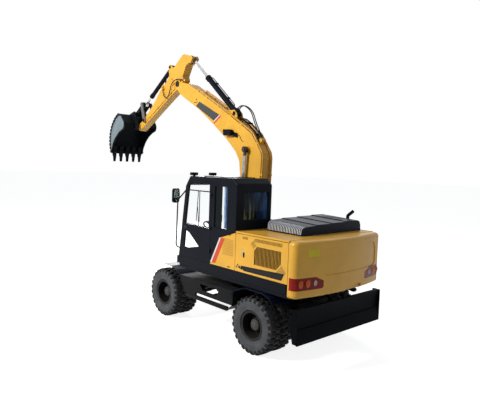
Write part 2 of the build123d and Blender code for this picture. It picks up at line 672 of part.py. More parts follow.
SLAT_PITCH = 32
SLAT_T = 9
VENT_PITCH = 28
with BuildPart() as rear_door:
    with BuildSketch(Plane.XZ):
        with BuildLine():
            Polyline((-1905, 1455), (-616, 1455), (-616, 2150), (-1905, 2150), close=True)
        make_face()
        with BuildLine():
            Polyline((-1178, 1980), (-1750, 1980), (-1750, 1760), (-1640, 1650), (-1110, 1650),
                     (-1110, 1912), close=True)
        make_face(mode=Mode.SUBTRACT)
        # vent rows along the top
        with Locations((-1440, 2088)):
            with GridLocations(VENT_PITCH, 0, 24, 1):
                Rectangle(11, 60, mode=Mode.SUBTRACT)
        with Locations((-865, 2094)):
            with GridLocations(VENT_PITCH, 0, 5, 1):
                Rectangle(11, 48, mode=Mode.SUBTRACT)
    extrude(amount=PANEL_T / 2, both=True)
    # slats across the opening, set back from the panel
    with BuildSketch(Plane.XZ):
        with Locations((-1430, 1815)):
            with GridLocations(SLAT_PITCH, 0, 19, 1):
                Rectangle(SLAT_T, 344)
    extrude(amount=PANEL_T / 2 - 5, both=True)
    # the slats end on the slanted corners
    with BuildSketch(Plane.XZ):
        with BuildLine():
            Polyline((-1750, 1755), (-1645, 1650), (-1755, 1645), close=True)
        make_face()
        with BuildLine():
            Polyline((-1180, 1980), (-1110, 1910), (-1105, 1985), close=True)
        make_face()
    extrude(amount=PANEL_T / 2, both=True)
for side, name in ((1, "left_rear_door"), (-1, "right_rear_door")):
    save(rear_door.part.moved(Location((0, side * (SIDE_Y - PANEL_T / 2), 0))), name)

with BuildPart() as hydraulic_tank:
    with BuildSketch(side_plane(0, 0, 0, -325)):
        with BuildLine():
            Polyline((-600, 1290.3), (100, 1290.3), (100, 2050), (40, 2110), (-600, 2110), close=True)
        make_face()
    extrude(amount=SIDE_Y - 325)
    with Locations((0, -SKIRT_IN - 50, 1369)):
        Box(2600, 100, 161, mode=Mode.SUBTRACT)
save(hydraulic_tank.part, "hydraulic_tank")

with BuildPart() as fuel_tank:
    with BuildSketch(side_plane(0, 0, 0, -325)):
        with BuildLine():
            Polyline((105, 1290.3), (700, 1290.3), (700, 1840), (640, 1900), (105, 1900), close=True)
        make_face()
    extrude(amount=SIDE_Y - 325)
    with Locations((0, -SKIRT_IN - 50, 1369)):
        Box(2600, 100, 161, mode=Mode.SUBTRACT)
save(fuel_tank.part, "fuel_tank")

with BuildPart() as tool_box:
    with BuildSketch(side_plane(0, 0, 0, -325)):
        with BuildLine():
            Polyline((705, 1290.3), (1195, 1290.3), (1195, 1560), (705, 1560), close=True)
        make_face()
        with BuildLine():
            Polyline((725, 1310), (1175, 1310), (1175, 1570), (725, 1570), close=True)
        make_face(mode=Mode.SUBTRACT)
    extrude(amount=SIDE_Y - 325)
    for y in (-345, -SIDE_Y + 20):
        with Locations((950, y, (1290.3 + 1560) / 2)):
            Box(480, 40, 1560 - 1290.3)
    with Locations((0, -SKIRT_IN - 50, 1369)):
        Box(2600, 100, 161, mode=Mode.SUBTRACT)
save(tool_box.part, "tool_box")

with BuildPart() as tool_box_lid:
    with Locations((942, -(325 + SIDE_Y) / 2, 1560 + FIT + 12)):
        Box(470, SIDE_Y - 325, 24)
save(tool_box_lid.part, "tool_box_lid")

# rail beside the tool box, with the right mirror on its front post
RAIL_X = 1211
RAIL_TOP = 2120
RAIL_REAR = 600
RAIL_Y = 1222
TANK_TOP = 1900
with BuildPart() as side_rail:
    with BuildLine():
        FilletPolyline((RAIL_X, -RAIL_Y, SKIRT_TOP + FIT), (RAIL_X, -RAIL_Y, RAIL_TOP),
                       (RAIL_REAR, -RAIL_Y + 37, RAIL_TOP), (RAIL_REAR, -RAIL_Y + 37, TANK_TOP + FIT), radius=70)
    with BuildSketch(Plane.XY.offset(SKIRT_TOP + FIT)):
        with Locations((RAIL_X, -RAIL_Y)):
            Circle(RAIL_R)
    sweep()
    with BuildSketch(Plane.YZ.offset(RAIL_X + 30)):
        with Locations((-RAIL_Y + 8, RAIL_TOP + 130)):
            RectangleRounded(180, 300, 45)
    extrude(amount=18, both=True)
    with Locations((RAIL_X + 6, -RAIL_Y, RAIL_TOP - 90), (RAIL_X + 6, -RAIL_Y, RAIL_TOP + 10)):
        Box(40, 26, 26)
    with Locations((RAIL_X + 22, -RAIL_Y, RAIL_TOP - 20)):
        Box(16, 26, 160)
save(side_rail.part, "side_rail")

# ------------------------------------------------------------- cab

ROOF_LAMP_Y = (500, 1100)
ROOF_LAMP_X = 905
ROOF_LAMP_Z = 3108
MIRROR_BAR_Y = 1208
MIRROR_X = 1392
with BuildPart() as cab_shell:
    with BuildSketch(side_plane(0, 0, 0, CAB_IN_Y)):
        with BuildLine():
            Polyline((CAB_REAR, 1290 + FIT), (1150, 1290 + FIT), (1165, 1480), (975, 2985), (860, 3150),
                     (-490, CAB_TOP), (CAB_REAR, 3060), close=True)
        make_face()
    extrude(amount=-(SIDE_Y - CAB_IN_Y))
    fillet(cab_shell.edges().filter_by(lambda e: e.center().Z > 3050), radius=32)
    # roof hatch, lamps on the front edge and the mirror's bar
    with Locations((150, (CAB_IN_Y + SIDE_Y) / 2, CAB_TOP - 4)):
        Box(820, 640, 32)
    for y in ROOF_LAMP_Y:
        with Locations(Location((ROOF_LAMP_X, y, ROOF_LAMP_Z), (0, 40, 0))):
            Box(70, 150, 66)
    with BuildLine():
        FilletPolyline((965, MIRROR_BAR_Y, 2895), (1306, MIRROR_BAR_Y, 2618), (1330, MIRROR_BAR_Y, 1624),
                       (1120, MIRROR_BAR_Y, 1605), radius=70)
    with BuildSketch(Plane(origin=(965, MIRROR_BAR_Y, 2895), z_dir=(341, 0, -277))):
        Circle(RAIL_R)
    sweep()
    with BuildSketch(Plane.YZ.offset(MIRROR_X)):
        with Locations((MIRROR_BAR_Y - 12, 2709)):
            RectangleRounded(190, 310, 50)
    extrude(amount=22, both=True)
    with Locations((MIRROR_X - 40, MIRROR_BAR_Y, 2640)):
        Box(100, 24, 24)
    with BuildSketch(side_plane(0, 0, 0, CAB_IN_Y + CAB_WALL)):
        with BuildLine():
            Polyline((CAB_REAR + CAB_WALL, 1340), (1105, 1340), (1120, 1480), (932, 2970), (835, 3095),
                     (-475, 3105), (CAB_REAR + CAB_WALL, 3040), close=True)
        make_face()
    extrude(amount=-(SIDE_Y - CAB_IN_Y - 2 * CAB_WALL), mode=Mode.SUBTRACT)
    # front window
    with BuildSketch(Plane.YZ.offset(700)):
        with Locations(((CAB_IN_Y + SIDE_Y) / 2, 2235)):
            Rectangle(SIDE_Y - CAB_IN_Y - 130, 1450)
    extrude(amount=700, mode=Mode.SUBTRACT)
    # rear window
    with BuildSketch(Plane.YZ.offset(-650)):
        with Locations((725, 2642)):
            RectangleRounded(683, 543, 40)
    extrude(amount=150, mode=Mode.SUBTRACT)
    # right window
    with BuildSketch(side_plane(0, 0, 0, CAB_IN_Y - 10)):
        with BuildLine():
            r1 = Polyline((-520, 2050), (1010, 1950), (900, 2980), (-520, 3000), close=True)
        make_face()
        fillet(r1.vertices(), radius=40)
    extrude(amount=-80, mode=Mode.SUBTRACT)
    # left rear window
    with BuildSketch(side_plane(0, 0, 0, SIDE_Y + 10)):
        with BuildLine():
            r2 = Polyline((-345, 2175), (36, 2175), (36, 3000), (-345, 3000), close=True)
        make_face()
        fillet(r2.vertices(), radius=35)
    extrude(amount=80, mode=Mode.SUBTRACT)
    # door opening with a rim that the closed door rests on
    with BuildSketch(side_plane(0, 0, 0, SIDE_Y + 10)):
        with BuildLine():
            Polyline((DOOR_REAR, 1450), (1085, 1450), (1075, 1560), (900, 2960), (830, 3060),
                     (DOOR_REAR, 3060), close=True)
        make_face()
    extrude(amount=48 + FIT, mode=Mode.SUBTRACT)
    with BuildSketch(side_plane(0, 0, 0, SIDE_Y + 10)):
        with BuildLine():
            Polyline((DOOR_REAR + 22, 1472), (1062, 1472), (1052, 1560), (882, 2940), (818, 3038),
                     (DOOR_REAR + 22, 3038), close=True)
        make_face()
    extrude(amount=80, mode=Mode.SUBTRACT)
    with BuildSketch(side_plane(0, 0, 0, SIDE_Y + 10)):
        with BuildLine():
            Polyline((CAB_REAR - 10, 1280), (DOOR_REAR - 2, 1280), (DOOR_REAR - 2, 1451), (-146, 2015),
                     (CAB_REAR - 10, 2170), close=True)
        make_face()
    extrude(amount=36, mode=Mode.SUBTRACT)
    with Locations((300, SKIRT_IN + 50, 1369)):
        Box(2000, 100, 161, mode=Mode.SUBTRACT)
save(cab_shell.part, "cab_shell")

with BuildPart() as cab_door:
    with BuildSketch(side_plane(0, 0, 0, SIDE_Y)):
        with BuildLine():
            Polyline((DOOR_REAR + 6, 1456), (1079, 1456), (1069, 1562), (894, 2957), (826, 3054),
                     (DOOR_REAR + 6, 3054), close=True)
        make_face()
        with BuildLine():
            Polyline((190, 2142), (985, 2161), (880, 2950), (804, 3011), (192, 3025), close=True)
        make_face(mode=Mode.SUBTRACT)
        with BuildLine():
            Polyline((479, 1729), (842, 1650), (1000, 1660), (960, 2040), (828, 1990), close=True)
        make_face(mode=Mode.SUBTRACT)
    extrude(amount=38)
    for z in (1700, 2150, 2800):
        with Locations((DOOR_REAR + 3, SIDE_Y + 12 + FIT, z)):
            Cylinder(12, 70)
        with Locations((DOOR_REAR + 21, SIDE_Y + 6, z)):
            Box(36, 12, 50)
save(cab_door.part, "cab_door")

with BuildPart() as door_glass:
    with BuildSketch(side_plane(0, 0, 0, SIDE_Y - 15)):
        with BuildLine():
            Polyline((190 + FIT, 2142 + FIT), (985 - FIT, 2161 + FIT), (880 - FIT, 2950), (804, 3011 - FIT),
                     (192, 3025 - FIT), close=True)
        make_face()
        with BuildLine():
            Polyline((480, 1729.5), (842, 1650.5), (999.5, 1660.5), (959.5, 2039.5), (828, 1989.5), close=True)
        make_face()
    extrude(amount=GLASS_T)
save(door_glass.part, "door_glass")

with BuildPart() as cab_glass:
    with BuildSketch(Plane.YZ.offset(-CAB_WALL / 2 + CAB_REAR + CAB_WALL)):
        with Locations((725, 2642)):
            RectangleRounded(683 - 2 * FIT, 543 - 2 * FIT, 40)
    extrude(amount=GLASS_T)
    with BuildSketch(side_plane(0, 0, 0, CAB_IN_Y + 20)):
        with BuildLine():
            g1 = Polyline((-520 + FIT, 2050 + FIT), (1010 - FIT, 1950 + FIT), (900 - FIT, 2980 - FIT),
                          (-520 + FIT, 3000 - FIT), close=True)
        make_face()
        fillet(g1.vertices(), radius=40)
    extrude(amount=-GLASS_T)
    with BuildSketch(side_plane(0, 0, 0, SIDE_Y - 20)):
        with BuildLine():
            g2 = Polyline((-345 + FIT, 2175 + FIT), (36 - FIT, 2175 + FIT), (36 - FIT, 3000 - FIT),
                          (-345 + FIT, 3000 - FIT), close=True)
        make_face()
        fillet(g2.vertices(), radius=35)
    extrude(amount=GLASS_T)
    with BuildSketch(side_plane(0, 0, 0, (CAB_IN_Y + SIDE_Y) / 2)):
        with BuildLine():
            Polyline((1150, 1512), (967, 2957), (967 - GLASS_T, 2957), (1150 - GLASS_T, 1512), close=True)
        make_face()
    extrude(amount=(SIDE_Y - CAB_IN_Y - 130) / 2 - FIT, both=True)
save(cab_glass.part, "cab_glass")

with BuildPart() as operator_seat:
    with Locations((100, 780, 1340 + FIT + 200)):
        Box(300, 300, 400)
    with BuildSketch(side_plane(0, 0, 0, 780)):
        with BuildLine():
            Polyline((-120, 1740), (380, 1740), (400, 1800), (380, 1860), (0, 1850), (-90, 2480), (-180, 2560),
                     (-240, 2540), (-150, 1800), close=True)
        make_face()
    extrude(amount=240, both=True)
save(operator_seat.part, "operator_seat")

with BuildPart() as cab_controls:
    for y in (460, 1100):
        with BuildSketch(side_plane(0, 0, 0, y)):
            with BuildLine():
                Polyline((-150, 1340.3), (250, 1340.3), (350, 1900), (330, 1960), (-150, 1900), close=True)
            make_face()
        extrude(amount=60, both=True)
    with BuildSketch(side_plane(0, 0, 0, 780)):
        with BuildLine():
            Polyline((760, 1340.3), (900, 1340.3), (730, 2060), (650, 2060), close=True)
        make_face()
    extrude(amount=50, both=True)
    with Locations(Location((660, 780, 2110), (0, -25, 0))):
        Torus(175, 14)
        Box(340, 40, 18)
        Cylinder(45, 120)
save(cab_controls.part, "cab_controls")

# ------------------------------------------------------------- boom

FORK_DEPTH = 290
# outline of the boom's side: along its axis and above it, from the foot over the back to the tip
BOOM_OUTLINE = (
    (-60, 125), (964, 986), (1230, 1225), (1330, 1275), (1496, 1291), (1807, 1300),
    (1971, 1246), (2749, 954), (BOOM_LENGTH - 333, 334), (BOOM_LENGTH - 35, 105),
    (BOOM_LENGTH - 25, -105), (BOOM_LENGTH - 316, -60), (BOOM_LENGTH - 1099, 269),
    (BOOM_LENGTH - 1765, 475), (BOOM_LENGTH - 2318, 623), (1832, 690), (1591, 663),
    (1300, 480), (100, -100),
)
PIPE_R = 12
# the pipes' run, raised over the back
PIPE_RUN = ((319, 483), (1213, 1250), (1322, 1304), (1811, 1330), (1981, 1276), (2760, 984),
            (BOOM_LENGTH - 702, 520))
# clamps on the pipes: along, above, tilt
CLAMPS = (
    (440, 574, 40.6), (700, 798, 40.6), (960, 1021, 40.6), (1560, 1305, 3), (2200, 1182, -20.6),
    (2580, 1039, -20.6), (3050, 850, -22.8), (3500, 662, -22.8), (3850, 515, -22.8),
)
LAMP_PLACE = (2283, 797)
boom_left = BOOM_W / 2
boom_foot_tilt = BOOM_ANGLE + 40.62
with BuildPart() as boom:
    with BuildSketch(BOOM):
        with BuildLine():
            Polyline(*BOOM_OUTLINE, close=True)
        make_face()
        Circle(140)
        with Locations((BOOM_LENGTH, 0)):
            Circle(105)
    extrude(amount=BOOM_W / 2, both=True)
    # bosses beside the boom cylinders' eyes
    with BuildSketch(side_plane(CYL_EYE_X, CYL_EYE_Z)):
        Circle(70)
    extrude(amount=BOOM_CYL_Y - 50 - FIT, both=True)
    for y in PIPE_Y:
        with BuildLine():
            FilletPolyline(*[member_point(BOOM_FOOT_X, BOOM_FOOT_Z, BOOM_ANGLE, a, u, y) for a, u in PIPE_RUN],
                           radius=90)
        start = member_point(BOOM_FOOT_X, BOOM_FOOT_Z, BOOM_ANGLE, *PIPE_RUN[0], y)
        with BuildSketch(Plane(origin=start, z_dir=side_plane(0, 0, boom_foot_tilt).x_dir)):
            Circle(PIPE_R)
        sweep()
    for a, u, tilt in CLAMPS:
        for side in (-1, 1):
            with BuildSketch(side_plane(BOOM_FOOT_X, BOOM_FOOT_Z, BOOM_ANGLE, side * 122)):
                with Locations(Location((a, u - 12, 0), (0, 0, tilt))):
                    Rectangle(38, 68)
            extrude(amount=27, both=True)
    # port of the arm cylinder's hoses
    with BuildSketch(BOOM):
        with Locations((1600, 1341)):
            Rectangle(80, 112)
    extrude(amount=60, both=True)
    # end stop of the arm's hose on the left side
    with BuildSketch(side_plane(TIP_X, TIP_Z, ARM_ANGLE, boom_left + 14)):
        with Locations(Location((-290 - 30 * math.cos(math.radians(44.2)), -90 - 30 * math.sin(math.radians(44.2)), 0),
                                (0, 0, 44.2))):
            Rectangle(60 - 2 * FIT, 48)
    extrude(amount=15, both=True)
    with BuildSketch(BOOM):
        Circle(45 + FIT)
    extrude(amount=BOOM_W, both=True, mode=Mode.SUBTRACT)
    for y in (-80, 80):
        with BuildSketch(side_plane(BOOM_FOOT_X, BOOM_FOOT_Z, BOOM_ANGLE, y)):
            with BuildLine():
                Polyline((2350, 1080), (2540, 1165), (2640, 1155), (2860, 900), (2400, 1020), close=True)
            make_face()
        extrude(amount=11, both=True)
    # fork at the tip for the arm
    with BuildSketch(BOOM):
        with BuildLine():
            Polyline((BOOM_LENGTH - FORK_DEPTH, 700), (BOOM_LENGTH - FORK_DEPTH, -400), (BOOM_LENGTH + 330, -400),
                     (BOOM_LENGTH + 330, 700), close=True)
        make_face()
    extrude(amount=ARM_W / 2 - 20, both=True, mode=Mode.SUBTRACT)
    with BuildSketch(BOOM):
        with Locations((BOOM_LENGTH, 0)):
            Circle(50 + FIT)
    extrude(amount=BOOM_W, both=True, mode=Mode.SUBTRACT)
save(boom.part, "boom")

with BuildPart() as work_lamp:
    with BuildSketch(side_plane(BOOM_FOOT_X, BOOM_FOOT_Z, BOOM_ANGLE, boom_left + FIT)):
        with Locations(LAMP_PLACE):
            Rectangle(120, 80)
    extrude(amount=-30)
    with BuildSketch(side_plane(BOOM_FOOT_X, BOOM_FOOT_Z, BOOM_ANGLE, boom_left + 24)):
        with BuildLine():
            w1 = Polyline((2418, 742), (2258, 926), (2152, 849), (2304, 671), close=True)
        make_face()
        fillet(w1.vertices(), radius=22)
    extrude(amount=-85)
save(work_lamp.part, "work_lamp")

# ------------------------------------------------------------- hoses

HOSE_TOP = VALVE_TOP + UNION_L + FIT
pipe_end = member_point(BOOM_FOOT_X, BOOM_FOOT_Z, BOOM_ANGLE, *PIPE_RUN[0], 0)
with BuildPart() as foot_hoses:
    for y in PIPE_Y:
        with BuildLine():
            FilletPolyline((VALVE_X, y, HOSE_TOP), (VALVE_X, y, 2075), (pipe_end[0], y, 2185),
                           (pipe_end[0], y, pipe_end[2] - 1.5), radius=125)
        with BuildSketch(Plane.XY.offset(HOSE_TOP)):
            with Locations((VALVE_X, y)):
                Circle(HOSE_R)
        sweep()
save(foot_hoses.part, "foot_hoses")

LOOP_Y = (-26, 26)
# the loop's run from the port on the boom to the arm cylinder
LOOP_RUN = ((1642, 1375), (2000, 1400), (2330, 1500), (2660, 1340), (2635, 1202))
with BuildPart() as loop_hoses:
    for y in LOOP_Y:
        with BuildLine():
            FilletPolyline(*[member_point(BOOM_FOOT_X, BOOM_FOOT_Z, BOOM_ANGLE, a, u, y) for a, u in LOOP_RUN],
                           radius=122)
        start = member_point(BOOM_FOOT_X, BOOM_FOOT_Z, BOOM_ANGLE, *LOOP_RUN[0], y)
        with BuildSketch(Plane(origin=start, z_dir=side_plane(0, 0, BOOM_ANGLE + 4).x_dir)):
            Circle(HOSE_R)
        sweep()
save(loop_hoses.part, "loop_hoses")

STICK_Y = 166
# the run past the boom's tip, in the arm's own axes
STICK_RUN = ((-290, -90), (80, 270), (470, -120), (650, 20), (602, 223))
with BuildPart() as stick_hose:
    with BuildLine():
        FilletPolyline(*[member_point(TIP_X, TIP_Z, ARM_ANGLE, a, u, STICK_Y) for a, u in STICK_RUN], radius=121)
    start = member_point(TIP_X, TIP_Z, ARM_ANGLE, *STICK_RUN[0], STICK_Y)
    with BuildSketch(Plane(origin=start, z_dir=side_plane(0, 0, ARM_ANGLE + 44.2).x_dir)):
        Circle(HOSE_R)
    sweep()
save(stick_hose.part, "stick_hose")

# ------------------------------------------------------------- arm

GUIDE_Y = ARM_W / 2 + 22
EAR_Y = ARM_W / 2 + 50
ARM_BOSS_W = 2 * (ARM_W / 2 - 20) - 2 * FIT
with BuildPart() as arm:
    with BuildSketch(ARM):
        with BuildLine():
            Polyline((-110, -60), (-205, -18), (-215, 88), (-470, 250), (-660, 205), (-740, 250),
                     (-735, 330), (-600, 440), (-500, 545), (-440, 560), (30, 500), (415, 372), (790, 322),
                     (1021, 235), (1338, 148), (ARM_LENGTH - 400, 62), (ARM_LENGTH - 150, 70),
                     (ARM_LENGTH, 80), (ARM_LENGTH, -95), (ARM_LENGTH - 349, -105), (1300, -88),
                     (300, -72), (77, -80), close=True)
        make_face()
        with Locations((ARM_LENGTH, -8)):
            Circle(98)
        Circle(125)
    extrude(amount=ARM_BOSS_W / 2, both=True)
    with BuildSketch(ARM):
        with BuildLine():
            Polyline((180, 300), (180, -20), (ARM_LENGTH - 300, -50), (ARM_LENGTH - 300, 60), (1338, 130),
                     (1021, 215), (790, 300), close=True)
        make_face()
    extrude(amount=ARM_W / 2, both=True)
    # slots for the eyes of the arm and bucket cylinders
    with BuildSketch(ARM):
        with BuildLine():
            Polyline((-850, 100), (-850, 700), (-560, 700), (-500, 150), close=True)
        make_face()
    extrude(amount=46, both=True, mode=Mode.SUBTRACT)
    for y in (-72, 72):
        with BuildSketch(side_plane(TIP_X, TIP_Z, ARM_ANGLE, y)):
            with BuildLine():
                Polyline((20, 470), (BUCKET_BASE_ALONG - 52, BUCKET_BASE_UP + 40),
                         (BUCKET_BASE_ALONG, BUCKET_BASE_UP + 66), (BUCKET_BASE_ALONG + 52, BUCKET_BASE_UP + 30),
                         (330, 370), close=True)
            make_face()
        extrude(amount=11, both=True)
    with BuildSketch(ARM):
        with Locations((GUIDE_AT, 0)):
            Circle(70)
    extrude(amount=GUIDE_Y - 15 - FIT, both=True)
    with BuildSketch(ARM):
        with Locations((ARM_LENGTH, 0)):
            Circle(58)
    extrude(amount=EAR_Y - 12 - FIT, both=True)
    with BuildSketch(ARM):
        with Locations((GUIDE_AT, 0), (ARM_LENGTH, 0)):
            Circle(45)
    extrude(amount=EAR_Y, both=True)
    with BuildSketch(ARM):
        Circle(50)
    extrude(amount=BOOM_W / 2, both=True)
    with BuildSketch(side_plane(TIP_X, TIP_Z, ARM_ANGLE, ARM_W / 2 - 5)):
        with Locations((595, 300 + FIT - 35)):
            Rectangle(64, 70)
    extrude(amount=-(STICK_Y + 18 - ARM_W / 2 + 5))
    with BuildSketch(side_plane(TIP_X, TIP_Z, ARM_ANGLE, ARM_W / 2 - 5)):
        with Locations((595, 300 + FIT + 30)):
            Rectangle(64, 62)
    extrude(amount=-20)
save(arm.part, "arm")

guide_angle = angle_to(GUIDE_X, GUIDE_Z, R_X, R_Z)
with BuildPart() as guide_links:
    for y in (-GUIDE_Y, GUIDE_Y):
        with BuildSketch(side_plane(GUIDE_X, GUIDE_Z, guide_angle, y)):
            with BuildLine():
                Polyline((0, 60), (LINK_GUIDE, 48), (LINK_GUIDE, -48), (0, -60), close=True)
            make_face()
            Circle(62)
            with Locations((LINK_GUIDE, 0)):
                Circle(55)
            Circle(45 + FIT, mode=Mode.SUBTRACT)
        extrude(amount=15, both=True)
    for side in (-1, 1):
        with BuildSketch(side_plane(GUIDE_X, GUIDE_Z, guide_angle, side * GUIDE_Y)):
            with Locations((LINK_GUIDE, 0)):
                Circle(50)
        extrude(amount=side * (GUIDE_Y - 105 - FIT))
save(guide_links.part, "guide_links")

h_angle = angle_to(P2_X, P2_Z, R_X, R_Z)
with BuildPart() as h_link:
    for y in (-75.5, 75.5):
        with BuildSketch(side_plane(P2_X, P2_Z, h_angle, y)):
            with BuildLine():
                Polyline((0, 60), (LINK_H, 55), (LINK_H, -55), (0, -60), close=True)
            make_face()
            Circle(62)
            with Locations((LINK_H, 0)):
                Circle(62)
        extrude(amount=29.5, both=True)
    with BuildSketch(side_plane(P2_X, P2_Z, h_angle, 0)):
        with Locations((180, 0)):
            Rectangle(130, 90)
    extrude(amount=80, both=True)
    with BuildSketch(side_plane(P2_X, P2_Z, h_angle, 0)):
        Circle(60)
    extrude(amount=EAR_Y - 12 - FIT, both=True)
    with BuildSketch(side_plane(P2_X, P2_Z, h_angle, 0)):
        Circle(40 + FIT)
    extrude(amount=EAR_Y, both=True, mode=Mode.SUBTRACT)
save(h_link.part, "h_link")

# ------------------------------------------------------------- bucket

BUCKET_WALL = 24
LIP_X = -268
LIP_Z = -1105
RIM_BLOCKS = 13
rim_arc = ThreePointArc((LIP_X, LIP_Z), (355, -830), (540, -239))
with BuildPart() as bucket:
    with BuildSketch(BUCKET):
        with BuildLine():
            k1 = ThreePointArc((LIP_X, LIP_Z), (355, -830), (540, -239))
            k2 = Line(k1 @ 1, (470, -140))
            k3 = Line(k2 @ 1, (201, -70))
            k4 = ThreePointArc(k3 @ 1, (60, -90), (5, -180))
            k5 = ThreePointArc(k4 @ 1, (30, -480), (-45, -800))
            k6 = Line(k5 @ 1, (-130, -955))
            Line(k6 @ 1, k1 @ 0)
        make_face()
    extrude(amount=BUCKET_W / 2, both=True)
    with BuildSketch(BUCKET):
        with BuildLine():
            m1 = ThreePointArc((LIP_X + 10, LIP_Z + 32), (338, -812), (515, -245))
            m2 = Polyline(m1 @ 1, (455, -165), (201, -95), (-200, -95), (-400, -700), (-400, -1040), m1 @ 0)
        make_face()
    extrude(amount=BUCKET_W / 2 - BUCKET_WALL, both=True, mode=Mode.SUBTRACT)
    for y in (-EAR_Y, EAR_Y):
        with BuildSketch(side_plane(P1_X, P1_Z, BUCKET_ANGLE, y)):
            with BuildLine():
                Polyline((-60, 60), (-70, -60), (-10, -160), (201, -90), (530, -239), (500, -60),
                         (BUCKET_PINS + 60, 50), (BUCKET_PINS - 20, 70), (60, 70), close=True)
            make_face()
            Circle(80)
            Circle(45 + FIT, mode=Mode.SUBTRACT)
            with Locations((BUCKET_PINS, 0)):
                Circle(70)
        extrude(amount=12, both=True)
    with BuildSketch(BUCKET):
        with Locations((BUCKET_PINS, 0)):
            Circle(40)
    extrude(amount=EAR_Y, both=True)
    # scalloped wear rim on both side plates
    for i in range(RIM_BLOCKS):
        place = rim_arc @ ((i + 0.6) / RIM_BLOCKS)
        lean = rim_arc % ((i + 0.6) / RIM_BLOCKS)
        for side in (-1, 1):
            with BuildSketch(side_plane(P1_X, P1_Z, BUCKET_ANGLE, side * (BUCKET_W / 2 + 3))):
                with Locations(Location((place.X, place.Y, 0), (0, 0, math.degrees(math.atan2(lean.Y, lean.X))))):
                    with Locations((0, 22)):
                        Rectangle(72, 76)
            extrude(amount=9, both=True)
    for i in range(TOOTH_COUNT):
        y = (i - (TOOTH_COUNT - 1) / 2) * TOOTH_PITCH
        with BuildSketch(side_plane(P1_X, P1_Z, BUCKET_ANGLE, y)):
            with BuildLine():
                Polyline((-150, -1030), (-215, -1125), (-473, -1215), (-300, -1060), close=True)
            make_face()
        extrude(amount=38, both=True)
        with BuildSketch(side_plane(P1_X, P1_Z, BUCKET_ANGLE, y)):
            with BuildLine():
                Polyline((-110, -960), (-215, -1060), (-330, -1115), (-330, -1160), (-200, -1130), (-40, -1080),
                         close=True)
            make_face()
        extrude(amount=52, both=True)
save(bucket.part, "bucket")

# ------------------------------------------------------------- cylinders

GLAND_L = 80
CYLINDERS = (
    # name, lateral places, base x and z, eye x and z,
    # barrel od, rod d, barrel length, rod inside, base half width, eye half width, gland's rim, cap on the eye
    ("boom_cyl", (-BOOM_CYL_Y, BOOM_CYL_Y), CYL_BASE_X, CYL_BASE_Z, CYL_EYE_X, CYL_EYE_Z,
     BOOM_CYL_OD, BOOM_ROD_D, 1250, 400, 57 - FIT, 50, 10, 16),
    ("arm_cyl", (0,), *ARM_BASE, *ARM_EYE,
     ARM_CYL_OD, ARM_ROD_D, 1400, 700, 69 - FIT, 46 - FIT, 10, 0),
    ("bucket_cyl", (0,), *BUCKET_BASE, R_X, R_Z,
     BUCKET_CYL_OD, BUCKET_ROD_D, 1180, 680, 61 - FIT, 46 - FIT, 9, 0),
    ("blade_cyl", (-BLADE_CYL_Y, BLADE_CYL_Y), BLADE_BASE_X, BLADE_BASE_Z, BLADE_EYE_X, BLADE_EYE_Z,
     84, 44, 480, 410, 46 - FIT, 38 - FIT, 6, 0),
)
for name, places, bx, bz, ex, ez, od, rod_d, barrel, inside, base, eye, rim_t, cap in CYLINDERS:
    cyl_angle = angle_to(bx, bz, ex, ez)
    cyl_len = distance(bx, bz, ex, ez)
    along = side_plane(bx, bz, cyl_angle).x_dir
    with BuildPart() as barrels:
        for y in places:
            with BuildSketch(side_plane(bx, bz, cyl_angle, y)):
                Circle(od / 2)
            extrude(amount=base, both=True)
            start = Plane(origin=(bx, y, bz), x_dir=(0, 1, 0), z_dir=along)
            with BuildSketch(start.offset(30)):
                Circle(od / 2)
            extrude(amount=barrel - 30)
            with BuildSketch(start.offset(barrel - GLAND_L)):
                Circle(od / 2 + rim_t)
            extrude(amount=GLAND_L)
            with BuildSketch(start.offset(40)):
                Circle(rod_d / 2 + FIT)
            extrude(amount=barrel - 40, mode=Mode.SUBTRACT)
        if name == "arm_cyl":
            # port of the hoses near the base
            port = member_point(BOOM_FOOT_X, BOOM_FOOT_Z, BOOM_ANGLE, *LOOP_RUN[-1], 0)
            with BuildSketch(Plane(origin=port, z_dir=side_plane(0, 0, BOOM_ANGLE + 79.7).x_dir)
                             .offset(-FIT)):
                Rectangle(100, 44)
            extrude(amount=-60)
    save(barrels.part, f"{name}_barrel")
    with BuildPart() as rods:
        for y in places:
            with BuildSketch(side_plane(ex, ez, cyl_angle, y)):
                Circle(rod_d * 0.8)
            extrude(amount=eye, both=True)
            if cap:
                with BuildSketch(side_plane(ex, ez, cyl_angle, y + math.copysign(eye, y))):
                    Circle(rod_d / 2)
                extrude(amount=-math.copysign(cap, y))
            end = Plane(origin=(ex, y, ez), x_dir=(0, 1, 0), z_dir=along)
            with BuildSketch(end):
                Circle(rod_d / 2)
            extrude(amount=-(cyl_len - barrel + inside))
    save(rods.part, f"{name}_rod")
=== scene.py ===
# Looks of a 14 t wheeled excavator: finishes, fittings, hoses and the studio it stands in.
# Whole sizes in the sub-assemblies are millimetres about the swing axis, as on the machine's drawings.
# The bench tools, the finishes and the small sections with decimals are in metres.

import json
import logging
import math
from dataclasses import dataclass
from enum import Enum
from functools import cached_property
from typing import Sequence

